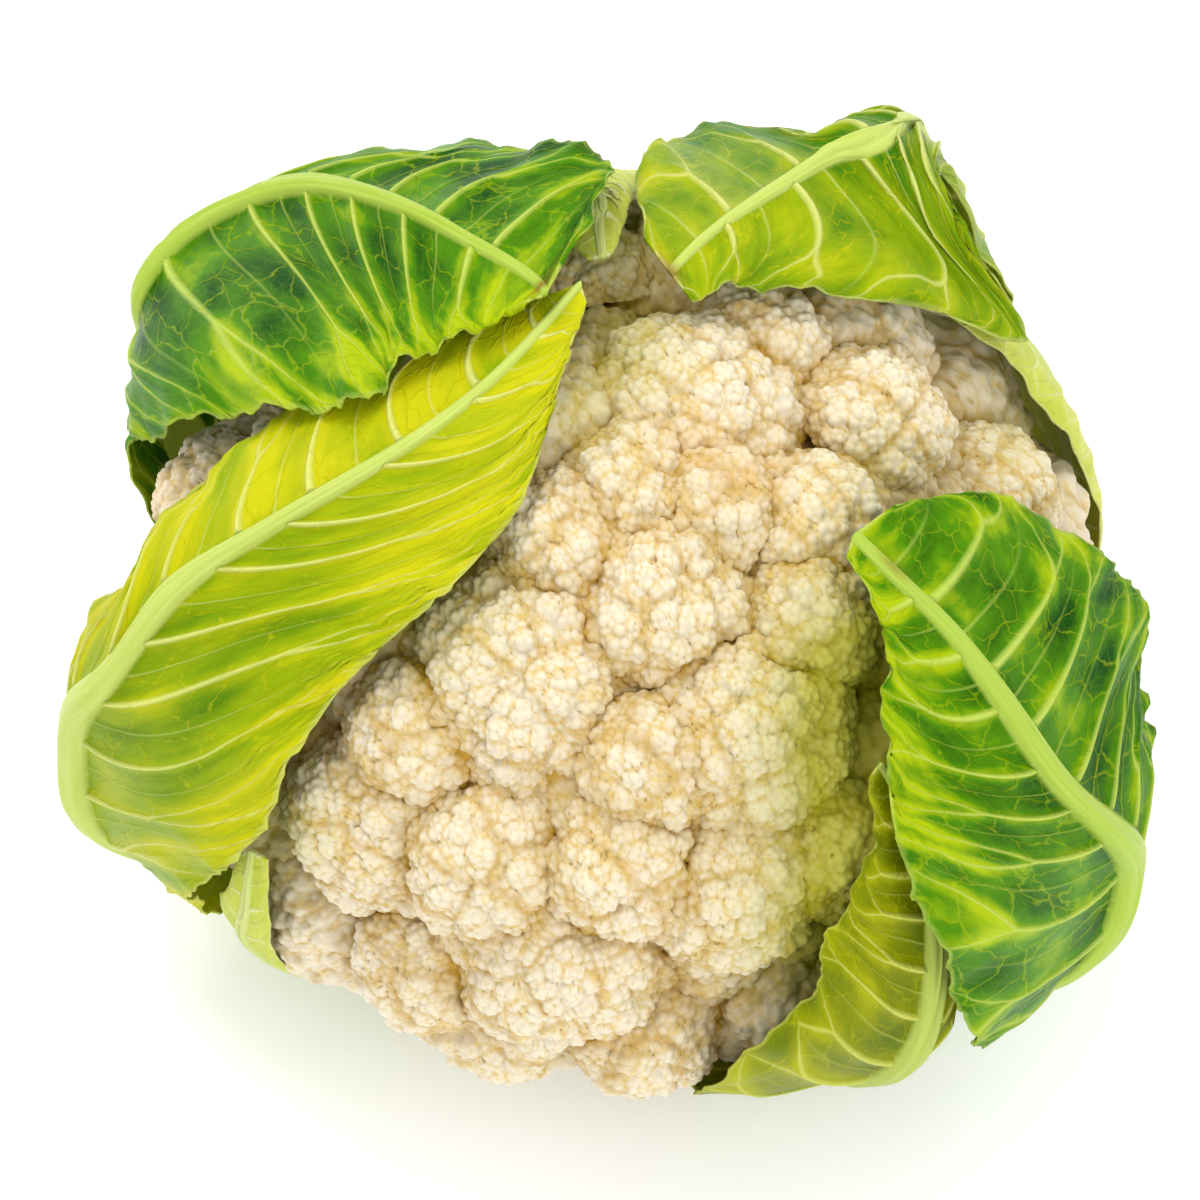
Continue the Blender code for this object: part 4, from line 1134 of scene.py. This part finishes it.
# Front right leaf. Olive green and closer in, its blade hugs the florets under the right leaf, and its thick
# rib shows all the way up.
olive_leaf = leaf_material(
    "waxy_olive_leaf", "#A4A60A", "#7C8404", "#4A6004", "#C0C45C", ("#B4C064", "#98A83C"), 0.36, 0.35
)
leaf_front_right_faces = leaf_surface(
    (
        (at(-80, 24, 14.5), at(-62, 25.5, 12), at(-45, 24, 14.5)),
        (at(-82, 46, 22), at(-61, 48, 17), at(-49, 46, 22)),
        (at(-81, 67, 31), at(-59, 74, 25), at(-50, 72, 30)),
        (at(-82, 84.5, 46), at(-58, 86, 38), at(-50, 87, 43)),
        (seen(20, -71, 3), at(-57, 94, 55), at(-50, 93, 58)),
        (seen(31, -63, 3), seen(54, -60, 5), seen(59, -57, 4)),
        (seen(33, -53, 3), seen(54, -47, 4), seen(59, -45, 3)),
        (seen(38, -46, 3), seen(51, -36, 4), seen(56, -34, 3)),
        (seen(43, -35, 3), seen(48, -27, 3), seen(51, -26, 3)),
        (seen(42, -23, 3), seen(44, -20, 3), seen(47, -22, 3)),
    ),
    2.0, (7.0, 1.2), (4.5, 0.6), (0.16, 0.1), 13.0, 0.8, 105,
)
green = 0.52 + spots(leaf_front_right_faces[2], ((0.5, 0.0, 0.3, 0.6, 0.15),))
make_leaf(
    "leaf_front_right", olive_leaf, leaf_front_right_faces,
    {"green": green, "scar": 0.0 * green},
)

# Inner leaves: one up the right side, one that hugs the head's lower left, and one up its back. They are
# tender and pale, because they grew in the shade of the others.
pale_leaf = leaf_material(
    "tender_inner_leaf", "#C6CA58", "#AEBA3C", "#7C9A20", "#D2D69A", ("#C8D088", "#AEBC58"), 0.42, 0.2
)
leaf_right_inner_faces = leaf_surface(
    (
        (at(8, 24, 15), at(18, 25, 13.5), at(28, 24, 15)),
        (at(11, 46, 23), at(20, 48, 20), at(30, 46, 23)),
        (at(13, 74, 33), at(24, 77, 30), at(35, 74, 33)),
        (at(15, 90, 50), at(28, 93, 48), at(39, 90, 51)),
        (at(16, 90, 74), at(30, 92, 74), at(41, 90, 75)),
        (at(18, 84, 96), at(32, 86, 97), at(43, 84, 98)),
        (at(26, 76, 112), at(36, 77, 112), at(45, 76, 113)),
        (at(36, 67, 123), at(39, 67, 123), at(42, 67, 123)),
    ),
    1.2, (4.5, 1.0), (3.0, 0.4), (0.12, 0.12), 12.0, 0.6, 106, 0.4,
)
green = 0.3 + spots(leaf_right_inner_faces[2], ((0.4, 0.0, 0.3, 0.6, 0.2),))
make_leaf(
    "leaf_right_inner", pale_leaf, leaf_right_inner_faces, {"green": green, "scar": 0.0 * green}
)

leaf_front_left_faces = leaf_surface(
    (
        (at(222, 24, 15), at(236, 25.5, 12.5), at(250, 24, 15)),
        (at(218, 46, 22), at(230, 48, 18), at(240, 46, 22)),
        (at(212, 71, 33), at(220, 74, 30), at(227, 71, 33)),
        (at(210, 86, 50), at(217, 87, 49), at(223, 86, 50)),
        (seen(-73, -44, 1.5), seen(-69, -46, 1.5), seen(-65, -49, 1.5)),
        (seen(-71, -38, 1.5), seen(-68, -36, 1.5), seen(-65, -38, 1.5)),
    ),
    1.0, (5.0, 1.2), (3.0, 0.4), (0.1, 0.1), 16.0, 0.6, 107, 0.3,
)
green = 0.3 + spots(leaf_front_left_faces[2], ((0.4, 0.0, 0.3, 0.6, 0.2),))
make_leaf("leaf_front_left", pale_leaf, leaf_front_left_faces, {"green": green, "scar": 0.0 * green})

leaf_back_faces = leaf_surface(
    (
        (at(88, 24, 15), at(104, 25.5, 13), at(120, 24, 15)),
        (at(92, 46, 22), at(104, 48, 18), at(116, 46, 22)),
        (at(92, 74, 32), at(104, 78, 28), at(116, 74, 32)),
        (at(86, 92, 55), at(102, 94, 54), at(118, 92, 56)),
        (at(84, 88, 84), at(100, 90, 86), at(118, 88, 86)),
        (seen(1, 82, 2), seen(-6, 82, 2.5), seen(-15, 79, 2)),
        (seen(-1, 77, 1.5), seen(-6, 77, 1.5), seen(-13, 74, 1.5)),
        (seen(-3, 71, 1.5), seen(-5, 70, 1.5), seen(-8, 70, 1.5)),
    ),
    1.2, (5.0, 1.0), (3.2, 0.4), (0.12, 0.12), 13.0, 0.6, 108, 0.4,
)
green = 0.35 + spots(leaf_back_faces[2], ((0.5, 0.0, 0.3, 0.6, 0.2),))
make_leaf("leaf_back", pale_leaf, leaf_back_faces, {"green": green, "scar": 0.0 * green})
